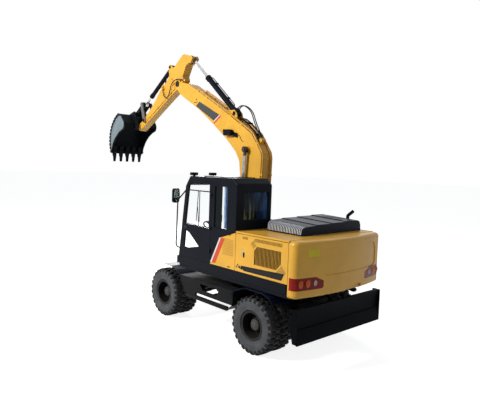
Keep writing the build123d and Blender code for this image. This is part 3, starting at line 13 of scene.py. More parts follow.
import bmesh
import bpy
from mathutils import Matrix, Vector


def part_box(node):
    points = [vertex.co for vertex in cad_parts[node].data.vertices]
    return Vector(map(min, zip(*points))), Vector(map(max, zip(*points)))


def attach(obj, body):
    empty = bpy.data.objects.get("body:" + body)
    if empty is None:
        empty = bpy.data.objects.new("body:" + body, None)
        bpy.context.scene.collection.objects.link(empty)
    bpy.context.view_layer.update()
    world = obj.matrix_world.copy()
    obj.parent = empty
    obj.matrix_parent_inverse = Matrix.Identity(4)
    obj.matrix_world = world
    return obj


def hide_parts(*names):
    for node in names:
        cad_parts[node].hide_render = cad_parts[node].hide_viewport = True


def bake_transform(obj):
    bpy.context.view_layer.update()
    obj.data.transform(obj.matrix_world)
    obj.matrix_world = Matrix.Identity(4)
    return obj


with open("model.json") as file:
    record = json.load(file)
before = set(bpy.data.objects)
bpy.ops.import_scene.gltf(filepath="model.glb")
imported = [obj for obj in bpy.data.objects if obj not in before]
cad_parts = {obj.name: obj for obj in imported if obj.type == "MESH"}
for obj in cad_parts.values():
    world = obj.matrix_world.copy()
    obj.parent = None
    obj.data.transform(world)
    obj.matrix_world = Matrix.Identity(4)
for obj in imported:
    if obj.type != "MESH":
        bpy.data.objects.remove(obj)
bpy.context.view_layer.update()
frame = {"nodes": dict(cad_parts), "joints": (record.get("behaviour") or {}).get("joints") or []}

log = logging.getLogger("excavator")

Colour = tuple[float, float, float]
Place = tuple[float, float, float]
Flat = tuple[float, float]
Outline = tuple[Flat, ...]
Socket = bpy.types.NodeSocket
Piece = bpy.types.Object

MM = 0.001
SWING = next(joint["pos_m"][0] for joint in frame["joints"] if joint["name"] == "swing")
WHEELS = ("rear_left", "rear_right", "front_left", "front_right")
SIDES = (("left", 1), ("right", -1))
WALL = 1245  # outer face of the side panels
TIP = 0.001  # radius of a turned piece at its middle
MERGE = 1e-5  # corners closer than this become one
SHARP = 0.5  # radians between faces from which an edge is softened
HEXAGON = 6


class Axis(Enum):
    """Directions that a turned piece can have."""

    ALONG = Vector((1, 0, 0))
    ACROSS = Vector((0, 1, 0))
    UP = Vector((0, 0, 1))


def at(x: float, y: float, z: float) -> Vector:
    """Gives a point in the frame's metres.

    Args:
        x: millimetres ahead of the swing axis.
        y: millimetres to the left of the machine's middle.
        z: millimetres above the ground.

    Returns:
        The point.
    """
    return Vector((SWING + x * MM, y * MM, z * MM))


def run(*places: Place) -> list[Vector]:
    """Gives the points of a route or an outline."""
    return [at(*place) for place in places]


@dataclass(frozen=True)
class Member:
    """Side view of a boom, arm or bucket, with its first axis along the member."""

    x: float
    z: float
    angle: float

    def at(self, along: float, y: float, up: float) -> Vector:
        """Gives a point of the member in the frame's metres.

        Args:
            along: millimetres from its first pin.
            y: millimetres to the left of the machine's middle.
            up: millimetres above its axis.

        Returns:
            The point.
        """
        a = math.radians(self.angle)
        return at(self.x + along * math.cos(a) - up * math.sin(a), y,
                  self.z + along * math.sin(a) + up * math.cos(a))

    def outline(self, shape: Sequence[Flat], y: float) -> list[Vector]:
        """Gives the points of a side view at one distance from the machine's middle."""
        return [self.at(along, y, up) for along, up in shape]

    def end(self, length: float) -> Flat:
        """Gives the side view's place of the member's far pin."""
        a = math.radians(self.angle)
        return self.x + length * math.cos(a), self.z + length * math.sin(a)


BODY = Member(0, 0, 0)
BOOM = Member(70, 1840, 50.93)
BOOM_LENGTH = 4570
ARM = Member(*BOOM.end(BOOM_LENGTH), -28.7)
ARM_LENGTH = 2100
BUCKET = Member(*ARM.end(ARM_LENGTH), 62.2)
ARM_BASE_PIN = BOOM.at(2586, 0, 1102)
ARM_EYE = ARM.at(-669, 0, 279)
BUCKET_BASE_PIN = ARM.at(163, 0, 639)
EYE_RADIUS = 0.055
BUCKET_EYE = Vector((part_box("bucket_cyl_rod")[0].x + EYE_RADIUS, 0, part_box("bucket_cyl_rod")[0].z + EYE_RADIUS))


class Bench:
    """Hand tools of the modelling bench; a piece gets its name when it is fitted."""

    @staticmethod
    def clear() -> None:
        """Leaves edit mode and selects nothing."""
        if bpy.context.object and bpy.context.object.mode != "OBJECT":
            Bench.shut()
        bpy.ops.object.select_all(action="DESELECT")

    @staticmethod
    def hold(piece: Piece) -> None:
        """Selects one piece and makes it the active one.

        Args:
            piece: the piece.
        """
        Bench.clear()
        piece.select_set(True)
        bpy.context.view_layer.objects.active = piece

    @staticmethod
    def open(piece: Piece) -> None:
        """Opens one piece for editing with its whole mesh selected.

        Args:
            piece: the piece.
        """
        Bench.hold(piece)
        bpy.ops.object.mode_set(mode="EDIT")
        bpy.ops.mesh.select_all(action="SELECT")

    @staticmethod
    def shut() -> None:
        """Leaves edit mode."""
        bpy.ops.object.mode_set(mode="OBJECT")

    @staticmethod
    def loop(corners: Sequence[Vector], filled: bool = True) -> Piece:
        """Lays a closed loop of corners from a circle, each one moved to its place.

        Args:
            corners: places of the corners in order.
            filled: whether the loop gets a face.

        Returns:
            The piece, in edit mode with everything selected.
        """
        Bench.clear()
        fill = "NGON" if filled else "NOTHING"
        bpy.ops.mesh.primitive_circle_add(vertices=len(corners), radius=1, fill_type=fill)
        piece = bpy.context.object
        bpy.ops.object.mode_set(mode="EDIT")
        mesh = bmesh.from_edit_mesh(piece.data)
        starts = [corner.co.copy() for corner in mesh.verts]
        for i, (start, place) in enumerate(zip(starts, corners)):
            mesh = bmesh.from_edit_mesh(piece.data)
            for j, corner in enumerate(mesh.verts):
                corner.select_set(i == j)
            mesh.select_flush_mode()
            bpy.ops.transform.translate(value=place - start)
        bpy.ops.mesh.select_all(action="SELECT")
        return piece

    @staticmethod
    def done(piece: Piece, soften: float = 0.0, segments: int = 2, smooth: float = 30) -> Piece:
        """Closes a piece: faces outwards, edges softened, shading by angle.

        Args:
            piece: the piece.
            soften: width of the edges' bevel.
            segments: steps of the bevel.
            smooth: angle in degrees under which faces shade as one.

        Returns:
            The same piece.
        """
        Bench.open(piece)
        bpy.ops.mesh.remove_doubles(threshold=MERGE)
        bpy.ops.mesh.normals_make_consistent(inside=False)
        Bench.shut()
        if soften:
            bevel = piece.modifiers.new("soften", "BEVEL")
            bevel.width, bevel.segments = soften, segments
            bevel.limit_method, bevel.angle_limit = "ANGLE", SHARP
            bpy.ops.object.modifier_apply(modifier=bevel.name)
        bpy.ops.object.shade_smooth_by_angle(angle=math.radians(smooth))
        return piece

    @staticmethod
    def plate(corners: Sequence[Vector], depth: Sequence[float], soften: float = 0.0) -> Piece:
        """Cuts a plate to an outline and gives it its thickness.

        Args:
            corners: the outline, in order.
            depth: the thickness, as the way its second face lies from its first.
            soften: bevel of its edges.

        Returns:
            The plate.
        """
        piece = Bench.loop(corners)
        bpy.ops.mesh.extrude_region_move(TRANSFORM_OT_translate={"value": depth})
        return Bench.done(piece, soften)

    @staticmethod
    def cube(size: Vector) -> Piece:
        """Starts a block about the origin.

        Args:
            size: its length, width and height; signs don't matter.

        Returns:
            The block, in edit mode with everything selected.
        """
        Bench.clear()
        bpy.ops.mesh.primitive_cube_add(size=1)
        bpy.ops.object.mode_set(mode="EDIT")
        bpy.ops.transform.resize(value=[abs(v) for v in size])
        return bpy.context.object

    @staticmethod
    def block(low: Vector, high: Vector, soften: float = 0.0) -> Piece:
        """Shapes a block between two corners.

        Args:
            low: one corner.
            high: the corner across from it.
            soften: bevel of its edges.

        Returns:
            The block.
        """
        piece = Bench.cube(high - low)
        bpy.ops.transform.translate(value=(low + high) / 2)
        return Bench.done(piece, soften)

    @staticmethod
    def place(piece: Piece, shift: Sequence[float], turn: float = 0.0) -> None:
        """Turns a piece about the origin in the side view and moves it.

        Args:
            piece: the piece.
            shift: the way that it moves.
            turn: the angle in radians.
        """
        Bench.open(piece)
        bpy.ops.transform.rotate(value=turn, orient_axis="Y", center_override=(0, 0, 0))
        bpy.ops.transform.translate(value=shift)
        Bench.shut()

    @staticmethod
    def box(low: Place, high: Place, soften: float = 0.0) -> Piece:
        """Shapes a block between two corners given in the machine's millimetres."""
        return Bench.block(at(*low), at(*high), soften)

    @staticmethod
    def turned(profile: Sequence[Flat], centre: Vector, axis: Axis, steps: int, soften: float = 0.0) -> Piece:
        """Turns a closed profile round an axis.

        Args:
            profile: pairs of place along the axis and radius, in order.
            centre: where the axis has its zero.
            axis: the axis's direction.
            steps: faces round the axis.
            soften: bevel of its edges.

        Returns:
            The turned piece.
        """
        out = Axis.ALONG.value if axis is Axis.UP else Axis.UP.value
        piece = Bench.loop([centre + axis.value * along + out * radius for along, radius in profile], False)
        bpy.ops.mesh.spin(steps=steps, angle=2 * math.pi, center=centre, axis=axis.value, use_auto_merge=True)
        return Bench.done(piece, soften)

    @staticmethod
    def button(centre: Vector, radius: float, wall: float, top: float, chamfer: float, steps: int) -> Piece:
        """Turns a flat round or six-sided button that stands out across the machine.

        Args:
            centre: middle of its foot.
            radius: its radius.
            wall: height of its straight wall, negative on the right.
            top: its whole height, negative on the right.
            chamfer: how far its top's edge is drawn in.
            steps: faces round it.

        Returns:
            The button.
        """
        profile = ((0, TIP), (0, radius), (wall, radius), (top, radius - chamfer), (top, TIP))
        return Bench.turned(profile, centre, Axis.ACROSS, steps)

    @staticmethod
    def round(piece: Piece, count: int, centre: Vector) -> Piece:
        """Repeats a piece round an axis across the machine, as parts of the same piece.

        Args:
            piece: the piece.
            count: how many there are in the end.
            centre: where the axis stands.

        Returns:
            The same piece.
        """
        Bench.open(piece)
        turn = 2 * math.pi / count * (count - 1)
        bpy.ops.mesh.spin(steps=count - 1, dupli=True, angle=turn, center=centre, axis=Axis.ACROSS.value)
        Bench.shut()
        return piece

    @staticmethod
    def row(piece: Piece, count: int, step: float) -> list[Piece]:
        """Sets up a row of copies ahead of a piece, each with its own mesh.

        Args:
            piece: the first piece of the row.
            count: how many pieces the row has.
            step: distance from one to the next.

        Returns:
            The row.
        """
        pieces = [piece]
        for i in range(1, count):
            Bench.hold(piece)
            bpy.ops.object.duplicate(linked=False)
            pieces.append(bpy.context.object)
            Bench.place(pieces[-1], (step * i, 0, 0))
        return pieces

    @staticmethod
    def join(pieces: Sequence[Piece]) -> Piece:
        """Joins pieces.

        Args:
            pieces: the pieces, one or more.

        Returns:
            The first one, which holds them all.
        """
        Bench.clear()
        for piece in pieces:
            piece.select_set(True)
        bpy.context.view_layer.objects.active = pieces[0]
        if len(pieces) > 1:
            bpy.ops.object.join()
        return pieces[0]

    @staticmethod
    def line(route: Sequence[Vector], radius: float, sides: int = 4, fineness: int = 8) -> Piece:
        """Lays a smooth round curve on a route.

        Args:
            route: its control points.
            radius: the curve's radius.
            sides: half the faces round it.
            fineness: steps between two control points.

        Returns:
            The curve.
        """
        curve = bpy.data.curves.new("line", "CURVE")
        curve.dimensions, curve.resolution_u = "3D", fineness
        curve.bevel_depth, curve.bevel_resolution, curve.use_fill_caps = radius, sides - 2, True
        spline = curve.splines.new("NURBS")
        spline.points.add(len(route) - 1)
        for point, place in zip(spline.points, route):
            point.co = (*place, 1)
        spline.order_u, spline.use_endpoint_u = 3, True
        piece = bpy.data.objects.new("line", curve)
        bpy.context.scene.collection.objects.link(piece)
        return piece

    @staticmethod
    def solid(curve: Piece) -> Piece:
        """Makes a round curve a closed mesh.

        Args:
            curve: the curve.

        Returns:
            The mesh's piece.
        """
        Bench.hold(curve)
        bpy.ops.object.convert(target="MESH")
        return Bench.done(bpy.context.object, smooth=60)

    @staticmethod
    def tube(route: Sequence[Vector], radius: float) -> Piece:
        """Bends a round bar along a route and closes its ends."""
        return Bench.solid(Bench.line(route, radius))

    @staticmethod
    def hose(route: Sequence[Vector], radius: float) -> tuple[Piece, list[Vector]]:
        """Runs a hose along a route as a mesh.

        Args:
            route: control points of its line.
            radius: the hose's radius.

        Returns:
            The hose and the points of its middle line.
        """
        thread = Bench.line(route, 0.0, 6, 16)
        bare = bpy.data.meshes.new_from_object(thread)
        path = [corner.co.copy() for corner in bare.vertices]
        bpy.data.meshes.remove(bare)
        bpy.data.objects.remove(thread)
        return Bench.solid(Bench.line(route, radius, 6, 16)), path


class Graph:
    """Lays out the nodes of a material or of the world."""

    def __init__(self, owner: bpy.types.Material | bpy.types.World, shader: str = "Principled BSDF") -> None:
        """Takes up the nodes of their owner.

        Args:
            owner: the material or the world.
            shader: the name of its shader node.
        """
        owner.use_nodes = True
        self.owner = owner
        self.nodes, self.links = owner.node_tree.nodes, owner.node_tree.links
        self.shader = self.nodes[shader]

    @cached_property
    def place(self) -> Socket:
        """Gives the place on the machine."""
        return self.node("ShaderNodeTexCoord").outputs["Object"]

    @cached_property
    def facing(self) -> Socket:
        """Gives the way that the surface faces."""
        return self.node("ShaderNodeNewGeometry").outputs["Normal"]

    def fill(self, node: bpy.types.Node, inputs: dict) -> None:
        """Links a node's sockets, or sets those whose value is a plain one.

        Args:
            node: the node.
            inputs: values or sockets by input name or number.
        """
        for key, value in inputs.items():
            socket = node.inputs[key]
            if isinstance(value, bpy.types.NodeSocket):
                self.links.new(value, socket)
            else:
                socket.default_value = (*value, 1) if socket.type == "RGBA" else value

    def node(self, kind: str, inputs: dict | None = None, **settings: object) -> bpy.types.Node:
        """Adds a node.

        Args:
            kind: the node's type.
            inputs: values or sockets by input name or number.
            settings: the node's own settings.

        Returns:
            The node.
        """
        node = self.nodes.new(kind)
        for key, value in settings.items():
            setattr(node, key, value)
        self.fill(node, inputs or {})
        return node

    def finish(self, inputs: dict) -> bpy.types.Material:
        """Fills the shader's sockets and hands the material over."""
        self.fill(self.shader, inputs)
        return self.owner

    def noise(self, scale: float, detail: float = 4, stretch: Place = (1, 1, 1)) -> Socket:
        """Gives noise of a scale per metre, stretched where the grain runs one way."""
        spot = self.node("ShaderNodeMapping", {"Vector": self.place, "Scale": stretch}).outputs[0]
        return self.node("ShaderNodeTexNoise", {"Vector": spot, "Scale": scale, "Detail": detail}).outputs["Fac"]

    def wave(self, axis: str, scale: float, distortion: float = 0.0) -> Socket:
        """Gives even ribs across one axis."""
        inputs = {"Vector": self.place, "Scale": scale, "Distortion": distortion}
        return self.node("ShaderNodeTexWave", inputs, bands_direction=axis).outputs["Fac"]

    def spread(self, value: Socket, low: float, high: float, to_low: float = 0, to_high: float = 1) -> Socket:
        """Maps a range of values to another, held at its ends."""
        inputs = {"Value": value, "From Min": low, "From Max": high, "To Min": to_low, "To Max": to_high}
        return self.node("ShaderNodeMapRange", inputs).outputs[0]

    def sum(self, operation: str, first: object, *others: object) -> Socket:
        """Works out one value from two or more, in order.

        Args:
            operation: the kind of sum.
            first: the first value or socket.
            others: the others.

        Returns:
            The outcome.
        """
        for other in others:
            first = self.node("ShaderNodeMath", {0: first, 1: other}, operation=operation).outputs[0]
        return first

    def mix(self, share: object, first: object, second: object) -> Socket:
        """Mixes two colours by a share."""
        return self.node("ShaderNodeMix", {0: share, 6: first, 7: second}, data_type="RGBA").outputs[2]

    def part(self, vector: Socket, axis: str) -> Socket:
        """Takes one of the three parts of a vector."""
        return self.node("ShaderNodeSeparateXYZ", {0: vector}).outputs[axis]

    def bump(self, height: Socket, strength: float, depth: float, under: dict | None = None) -> Socket:
        """Raises a surface by a height, on top of another normal if one is given."""
        inputs = {"Height": height, "Strength": strength, "Distance": depth, **(under or {})}
        return self.node("ShaderNodeBump", inputs).outputs[0]

    def rays(self) -> Socket:
        """Gives 1 to the rays that see the background: from the camera, gloss and glass."""
        path = self.node("ShaderNodeLightPath").outputs
        return self.sum("MAXIMUM", path["Is Camera Ray"], path["Is Glossy Ray"], path["Is Transmission Ray"])


def shade(colour: Colour, share: float) -> Colour:
    """Darkens or lightens a colour."""
    return tuple(min(1.0, v * share) for v in colour)


@dataclass(frozen=True)
class Finish:
    """Finish with its own name and the name of the slot it stands in."""

    name: str
    slot: str

    def start(self) -> Graph:
        """Starts the finish's material."""
        return Graph(bpy.data.materials.new(self.name))


@dataclass(frozen=True)
class Paint(Finish):
    """Machine paint: slight mottle, dust on what faces up and lies low, edges rubbed through."""

    colour: Colour
    roughness: float
    gloss: float
    dust: float
    coat: float = 0.0
    wear: float = 0.3
    dust_colour: Colour = (0.30, 0.26, 0.20)
    worn_colour: Colour = (0.35, 0.33, 0.30)
    corner: float = 0.006
    rubbed: Flat = (0.97, 0.80)
    grain: float = 55
    mottle: float = 2.2
    lower: Colour | None = None
    split: float = 0.3
    seam: float = 0.012

    def film(self, g: Graph, broad: Socket) -> Socket:
        """Gives the film of dust, thicker low down and on what faces up.

        Args:
            g: the paint's nodes.
            broad: the noise that makes it patchy.

        Returns:
            The film's share.
        """
        low = g.spread(g.part(g.place, "Z"), 0.1, 1.3, 0.75, 0.18)
        upward = g.spread(g.part(g.facing, "Z"), 0.2, 0.95, 0.25, 1)
        return g.sum("MULTIPLY", low, upward, g.spread(broad, 0.35, 0.7, 0.3, 1.2), self.dust * 2)

    def material(self) -> bpy.types.Material:
        """Makes the paint's material.

        Returns:
            The material.
        """
        g = self.start()
        soft = g.node("ShaderNodeBevel", {"Radius": self.corner}, samples=4).outputs[0]
        turn = g.node("ShaderNodeVectorMath", {0: soft, 1: g.facing}, operation="DOT_PRODUCT").outputs["Value"]
        fine, broad = g.noise(self.grain, 6), g.noise(self.mottle, 5)
        scratch = g.sum("MULTIPLY", g.spread(turn, *self.rubbed), g.spread(fine, 0.5, 0.64, 0, self.wear))
        film = self.film(g, broad)
        coat = g.mix(g.spread(broad, 0.3, 0.7), shade(self.colour, 0.90), shade(self.colour, 1.06))
        if self.lower is not None:
            below = g.spread(g.part(g.place, "Z"), self.split + self.seam, self.split - self.seam)
            coat = g.mix(below, coat, self.lower)
        rough = g.spread(fine, 0.3, 0.7, self.roughness - 0.05, self.roughness + 0.08)
        return g.finish({
            "Base Color": g.mix(scratch, g.mix(film, coat, self.dust_colour), self.worn_colour),
            "Roughness": g.sum("ADD", rough, g.sum("MULTIPLY", film, 0.5)),
            "Normal": g.bump(g.noise(160, 2), 0.04, 0.001, {"Normal": soft}),
            "Metallic": 0.0, "Specular IOR Level": self.gloss,
            "Coat Weight": self.coat, "Coat Roughness": 0.12,
        })


@dataclass(frozen=True)
class Rubber(Finish):
    """Tyre or hose rubber with dust held in its grain."""

    colour: Colour
    dust: float
    dust_colour: Colour = (0.22, 0.20, 0.17)
    roughness: float = 0.75
    grain: float = 90
    patches: float = 7

    def material(self) -> bpy.types.Material:
        """Makes the rubber's material.

        Returns:
            The material.
        """
        g = self.start()
        fine, broad = g.noise(self.grain, 6), g.noise(self.patches, 4)
        share = g.sum("MULTIPLY", g.spread(broad, 0.3, 0.75), self.dust, g.spread(fine, 0.2, 0.7, 0.5, 1))
        return g.finish({
            "Base Color": g.mix(share, self.colour, self.dust_colour),
            "Roughness": g.spread(fine, 0.3, 0.7, self.roughness, self.roughness + 0.15),
            "Normal": g.bump(fine, 0.25, 0.002), "Specular IOR Level": 0.2,
        })


@dataclass(frozen=True)
class Glass(Finish):
    """Cab glass: clear on the door, smoked on the side and rear panes with soft streaks of colour."""

    tint: Colour
    smoked: Colour = (0.006, 0.010, 0.012)
    haze: Colour = (0.7, 0.7, 0.7)
    green: Colour = (0.42, 0.46, 0.10)
    blue: Colour = (0.035, 0.13, 0.36)
    rear_x: float = -560
    side: Flat = (-172, 45)
    side_y: float = 1100

    def streaks(self, g: Graph) -> Socket:
        """Gives the colours that the rear pane shows: green on its left, blue on its right.

        Args:
            g: the glass's nodes.

        Returns:
            The colour.
        """
        across, up = g.part(g.place, "Y"), g.part(g.place, "Z")
        low, leftward = g.spread(up, 2.80, 2.45), g.spread(across, 0.74, 0.82)
        green = g.sum("MULTIPLY", g.spread(g.noise(7.0, 3, (1, 3, 0.30)), 0.50, 0.62), low, leftward)
        rightward = g.spread(across, 0.95, 0.55, 0.1, 1)
        blue = g.sum("MULTIPLY", g.spread(g.noise(4.0, 3, (1, 4, 0.5)), 0.38, 0.60), rightward)
        return g.mix(green, g.mix(blue, self.smoked, self.blue), self.green)

    def material(self) -> bpy.types.Material:
        """Makes the glass's material.

        Returns:
            The material.
        """
        g = self.start()
        along = g.part(g.place, "X")
        rear = g.sum("LESS_THAN", along, SWING + self.rear_x * MM)
        side = g.sum("MULTIPLY", g.sum("GREATER_THAN", along, SWING + self.side[0] * MM),
                     g.sum("LESS_THAN", along, SWING + self.side[1] * MM),
                     g.sum("GREATER_THAN", g.part(g.place, "Y"), self.side_y * MM))
        share = g.sum("MAXIMUM", rear, side)
        clean = g.mix(g.spread(g.noise(3, 5), 0.45, 0.8, 0.0, 0.03), self.tint, self.haze)
        return g.finish({
            "Base Color": g.mix(share, clean, g.mix(rear, self.smoked, self.streaks(g))),
            "Transmission Weight": g.spread(share, 0, 1, 1.0, 0.15),
            "Roughness": g.spread(g.noise(14, 3), 0.3, 0.7, 0.0, 0.01),
            "IOR": 1.2, "Specular IOR Level": 0.3,
        })


@dataclass(frozen=True)
class Lens(Finish):
    """Moulded lamp lens with fine ribs inside."""

    colour: Colour

    def material(self) -> bpy.types.Material:
        """Makes the lens's material.

        Returns:
            The material.
        """
        g = self.start()
        ribs = g.wave("Y", 42.0, 0.4)
        return g.finish({
            "Base Color": g.mix(ribs, shade(self.colour, 0.55), self.colour), "Normal": g.bump(ribs, 0.3, 0.002),
            "Roughness": 0.15, "Specular IOR Level": 0.1, "Coat Weight": 0.04,
        })


@dataclass(frozen=True)
class Chrome(Finish):
    """Ground and plated cylinder rod with a thin oil film, and its eye in black paint."""

    colour: Colour = (0.72, 0.72, 0.74)
    eye: Vector | None = None
    reach: float = 0.135
    eye_colour: Colour = (0.010, 0.011, 0.014)

    def material(self) -> bpy.types.Material:
        """Makes the plating's material.

        Returns:
            The material.
        """
        g = self.start()
        rings, film = g.noise(220, 3), g.noise(9, 4)
        tone = g.mix(g.spread(film, 0.35, 0.7), self.colour, shade(self.colour, 0.7))
        rough = g.spread(rings, 0.3, 0.7, 0.08, 0.22)
        if self.eye is None:
            return g.finish({"Base Color": tone, "Roughness": rough, "Metallic": 1.0})
        spot = g.node("ShaderNodeMapping", {"Vector": g.place, "Scale": (1, 0, 1)}).outputs[0]
        centre = (self.eye.x, 0, self.eye.z)
        away = g.node("ShaderNodeVectorMath", {0: spot, 1: centre}, operation="DISTANCE").outputs["Value"]
        bare = g.spread(away, self.reach - MM, self.reach + MM)
        return g.finish({"Base Color": g.mix(bare, self.eye_colour, tone), "Metallic": bare,
                         "Roughness": g.sum("ADD", rough, g.spread(bare, 0, 1, 0.3, 0))})


@dataclass(frozen=True)
class Cloth(Finish):
    """Woven cloth with its warp and weft showing, and another colour ahead of a split, which on the curtain is
    painted light.
    """

    colour: Colour
    thread: float = 500.0
    # front: pale colour ahead of the split, painted light on the curtain
    front: Colour | None = None
    split: float = 0.0
    seam: float = 0.008

    def material(self) -> bpy.types.Material:
        """Makes the cloth's material.

        Returns:
            The material.
        """
        g = self.start()
        weave = g.sum("MAXIMUM", g.wave("Y", self.thread), g.wave("Z", self.thread))
        dark = shade(self.colour, 0.6)
        tone = g.mix(g.spread(g.noise(12, 4), 0.3, 0.7), dark, self.colour)
        # the colour ahead of the split is painted light
        if self.front is not None:
            edge = SWING + self.split * MM
            tone = g.mix(g.spread(g.part(g.place, "X"), edge - self.seam, edge + self.seam), tone, self.front)
        return g.finish({"Base Color": g.mix(g.spread(weave, 0, 1, 0.4, 0), tone, dark),
                         "Normal": g.bump(weave, 0.3, 0.001), "Roughness": 0.9, "Sheen Weight": 0.4})


FINISHES = (
    # name, slot, colour, roughness, gloss, dust
    Paint("yellow_coat", "yellow_paint", (0.80, 0.43, 0.040), 0.36, 0.3, 0.05, coat=0.15, wear=0.2,
          worn_colour=(0.45, 0.26, 0.06)),
    # darker yellow: painted shade in the front door's pressed holes
    Paint("hole_shade_coat", "yellow_paint", (0.50, 0.27, 0.050), 0.5, 0.2, 0.1, wear=0.0),
    Paint("black_coat", "black_paint", (0.006, 0.008, 0.013), 0.36, 0.05, 0.02),
    Paint("navy_coat", "black_paint", (0.006, 0.011, 0.028), 0.3, 0.06, 0.01, coat=0.02),
    Paint("blade_coat", "black_paint", (0.002, 0.003, 0.005), 0.5, 0.02, 0.01, lower=(0.026, 0.036, 0.070),
          split=0.34),
    Paint("chassis_coat", "black_paint", (0.008, 0.009, 0.011), 0.5, 0.05, 0.08),
    Paint("rim_coat", "black_paint", (0.007, 0.007, 0.008), 0.4, 0.15, 0.05, coat=0.04),
    Paint("hub_coat", "black_paint", (0.060, 0.060, 0.064), 0.55, 0.2, 0.2),
    # near-white louvre fins: painted reflection of the pale sky on the hood's navy louvres
    Paint("fin_reflection_coat", "black_paint", (0.80, 0.84, 0.92), 0.35, 0.4, 0.05, coat=0.1, wear=0.0),
    Paint("bucket_steel", "black_paint", (0.005, 0.007, 0.010), 0.45, 0.06, 0.05, wear=0.5,
          worn_colour=(0.16, 0.16, 0.16)),
    Paint("bucket_side", "black_paint", (0.20, 0.26, 0.30), 0.42, 0.2, 0.10, coat=0.05,
          worn_colour=(0.42, 0.46, 0.50)),
    Paint("grey_coat", "black_paint", (0.15, 0.155, 0.165), 0.5, 0.25, 0.15),
    # yellow darkened to deep brown: painted shade in the vent slots and on the grille wires behind the doors
    Paint("slot_and_grille_shade_coat", "black_paint", (0.060, 0.036, 0.010), 0.6, 0.1, 0.1),
    Paint("decal_black", "black_paint", (0.011, 0.011, 0.012), 0.4, 0.14, 0.03, wear=0.0),
    Paint("decal_grey", "black_paint", (0.060, 0.066, 0.070), 0.4, 0.2, 0.04, wear=0.0),
    Paint("decal_white", "yellow_paint", (0.78, 0.78, 0.78), 0.4, 0.3, 0.04, wear=0.0),
    Paint("decal_red", "yellow_paint", (0.66, 0.070, 0.028), 0.4, 0.3, 0.04, wear=0.0),
    Paint("decal_yellow", "yellow_paint", (0.78, 0.62, 0.020), 0.4, 0.3, 0.04, wear=0.0),
    Paint("decal_cream", "yellow_paint", (0.66, 0.44, 0.14), 0.5, 0.2, 0.04, wear=0.0),
    Paint("cab_moulding", "cab_plastic", (0.022, 0.023, 0.026), 0.6, 0.15, 0.05, wear=0.0),
    Rubber("tyre_rubber_coat", "tyre_rubber", (0.008, 0.008, 0.009), 0.22, (0.10, 0.09, 0.08)),
    Rubber("sidewall_coat", "tyre_rubber", (0.060, 0.064, 0.072), 0.75, (0.125, 0.132, 0.145)),
    Rubber("hose_rubber", "hose_rubber", (0.010, 0.010, 0.011), 0.1, roughness=0.4),
    Glass("cab_window", "window_glass", (0.99, 1.0, 1.0)),
    Chrome("rod_plating", "rod_chrome"),
    Chrome("boom_rod_plating", "rod_chrome", (0.45, 0.46, 0.48), at(305, 0, 3746)),
    Chrome("arm_rod_plating", "rod_chrome", eye=ARM_EYE),
    Chrome("bucket_rod_plating", "rod_chrome", eye=BUCKET_EYE, reach=0.12),
    Chrome("mirror_plating", "rod_chrome", (0.20, 0.27, 0.27)),
    Cloth("seat_weave", "seat_cloth", (0.05, 0.05, 0.055)),
    # curtain: deep blue cloth, its pale front part ahead of the split is painted light
    Cloth("curtain_weave_and_light", "seat_cloth", (0.020, 0.12, 0.36), 900.0, (0.66, 0.78, 0.90), -238),
    Lens("red_lens", "lamp_lens", (0.34, 0.008, 0.004)),
    Lens("amber_lens", "lamp_lens", (0.85, 0.15, 0.006)),
    Lens("clear_lens", "lamp_lens", (0.70, 0.66, 0.60)),
)


class Dresser:
    """Keeps the finishes and gives the CAD nodes theirs."""

    NODES = {
        "yellow_coat": ("boom", "arm", "counterweight", "left_front_door", "left_rear_door", "right_rear_door",
                        "hydraulic_tank", "fuel_tank", "tool_box", "tool_box_lid", "engine_deck"),
        "black_coat": ("cab_shell", "cab_door", "deck_skirts", "upper_frame", "exhaust_pipe", "engine_block",
                       "side_rail", "work_lamp", "boom_cyl_barrel", "arm_cyl_barrel", "bucket_cyl_barrel"),
        "navy_coat": ("engine_hood", "fenders"),
        "blade_coat": ("blade",),
        "chassis_coat": ("chassis_frame", "slew_ring", "rear_axle", "front_axle", "drive_line", "step_boxes",
                         "knuckle_left", "knuckle_right", "blade_arms", "blade_cyl_barrel"),
        "rim_coat": tuple(f"rim_{wheel}" for wheel in WHEELS),
        "bucket_steel": ("bucket", "h_link"),
        "grey_coat": ("guide_links",),
        "rod_plating": ("blade_cyl_rod",),
        "boom_rod_plating": ("boom_cyl_rod",),
        "arm_rod_plating": ("arm_cyl_rod",),
        "bucket_rod_plating": ("bucket_cyl_rod",),
        "tyre_rubber_coat": tuple(f"tyre_{wheel}" for wheel in WHEELS),
        "hose_rubber": ("foot_hoses", "loop_hoses", "stick_hose"),
        "red_lens": ("tail_lamps",),
        "cab_window": ("cab_glass", "door_glass"),
        "seat_weave": ("operator_seat",),
        "cab_moulding": ("cab_controls",),
    }

    def __init__(self) -> None:
        """Makes each finish once."""
        self.slots = {finish.name: finish.slot for finish in FINISHES}
        self.materials = {finish.name: finish.material() for finish in FINISHES}

    def coat(self, piece: Piece, finish: str) -> None:
        """Covers a piece all over with one finish."""
        piece.data.materials.clear()
        piece.data.materials.append(self.materials[finish])

    def dress_frame(self) -> None:
        """Gives every CAD node its finish."""
        for finish, nodes in self.NODES.items():
            for node in nodes:
                self.coat(frame["nodes"][node], finish)


@dataclass
class Assembly:
    """Sub-assembly of the machine's looks."""

    dresser: Dresser

    def fit(self, name: str, body: str, finish: str, *parts: Piece) -> Piece:
        """Joins parts into one piece and fits it to a body in a finish.

        Args:
            name: the piece's name.
            body: the CAD body it moves with.
            finish: the finish's name.
            parts: the parts, one or more.

        Returns:
            The piece.
        """
        piece = Bench.join(parts)
        piece.name = piece.data.name = name
        self.dresser.coat(piece, finish)
        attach(piece, body)
        log.info("%s rides on %s in %s", piece.name, body, finish)
        return piece


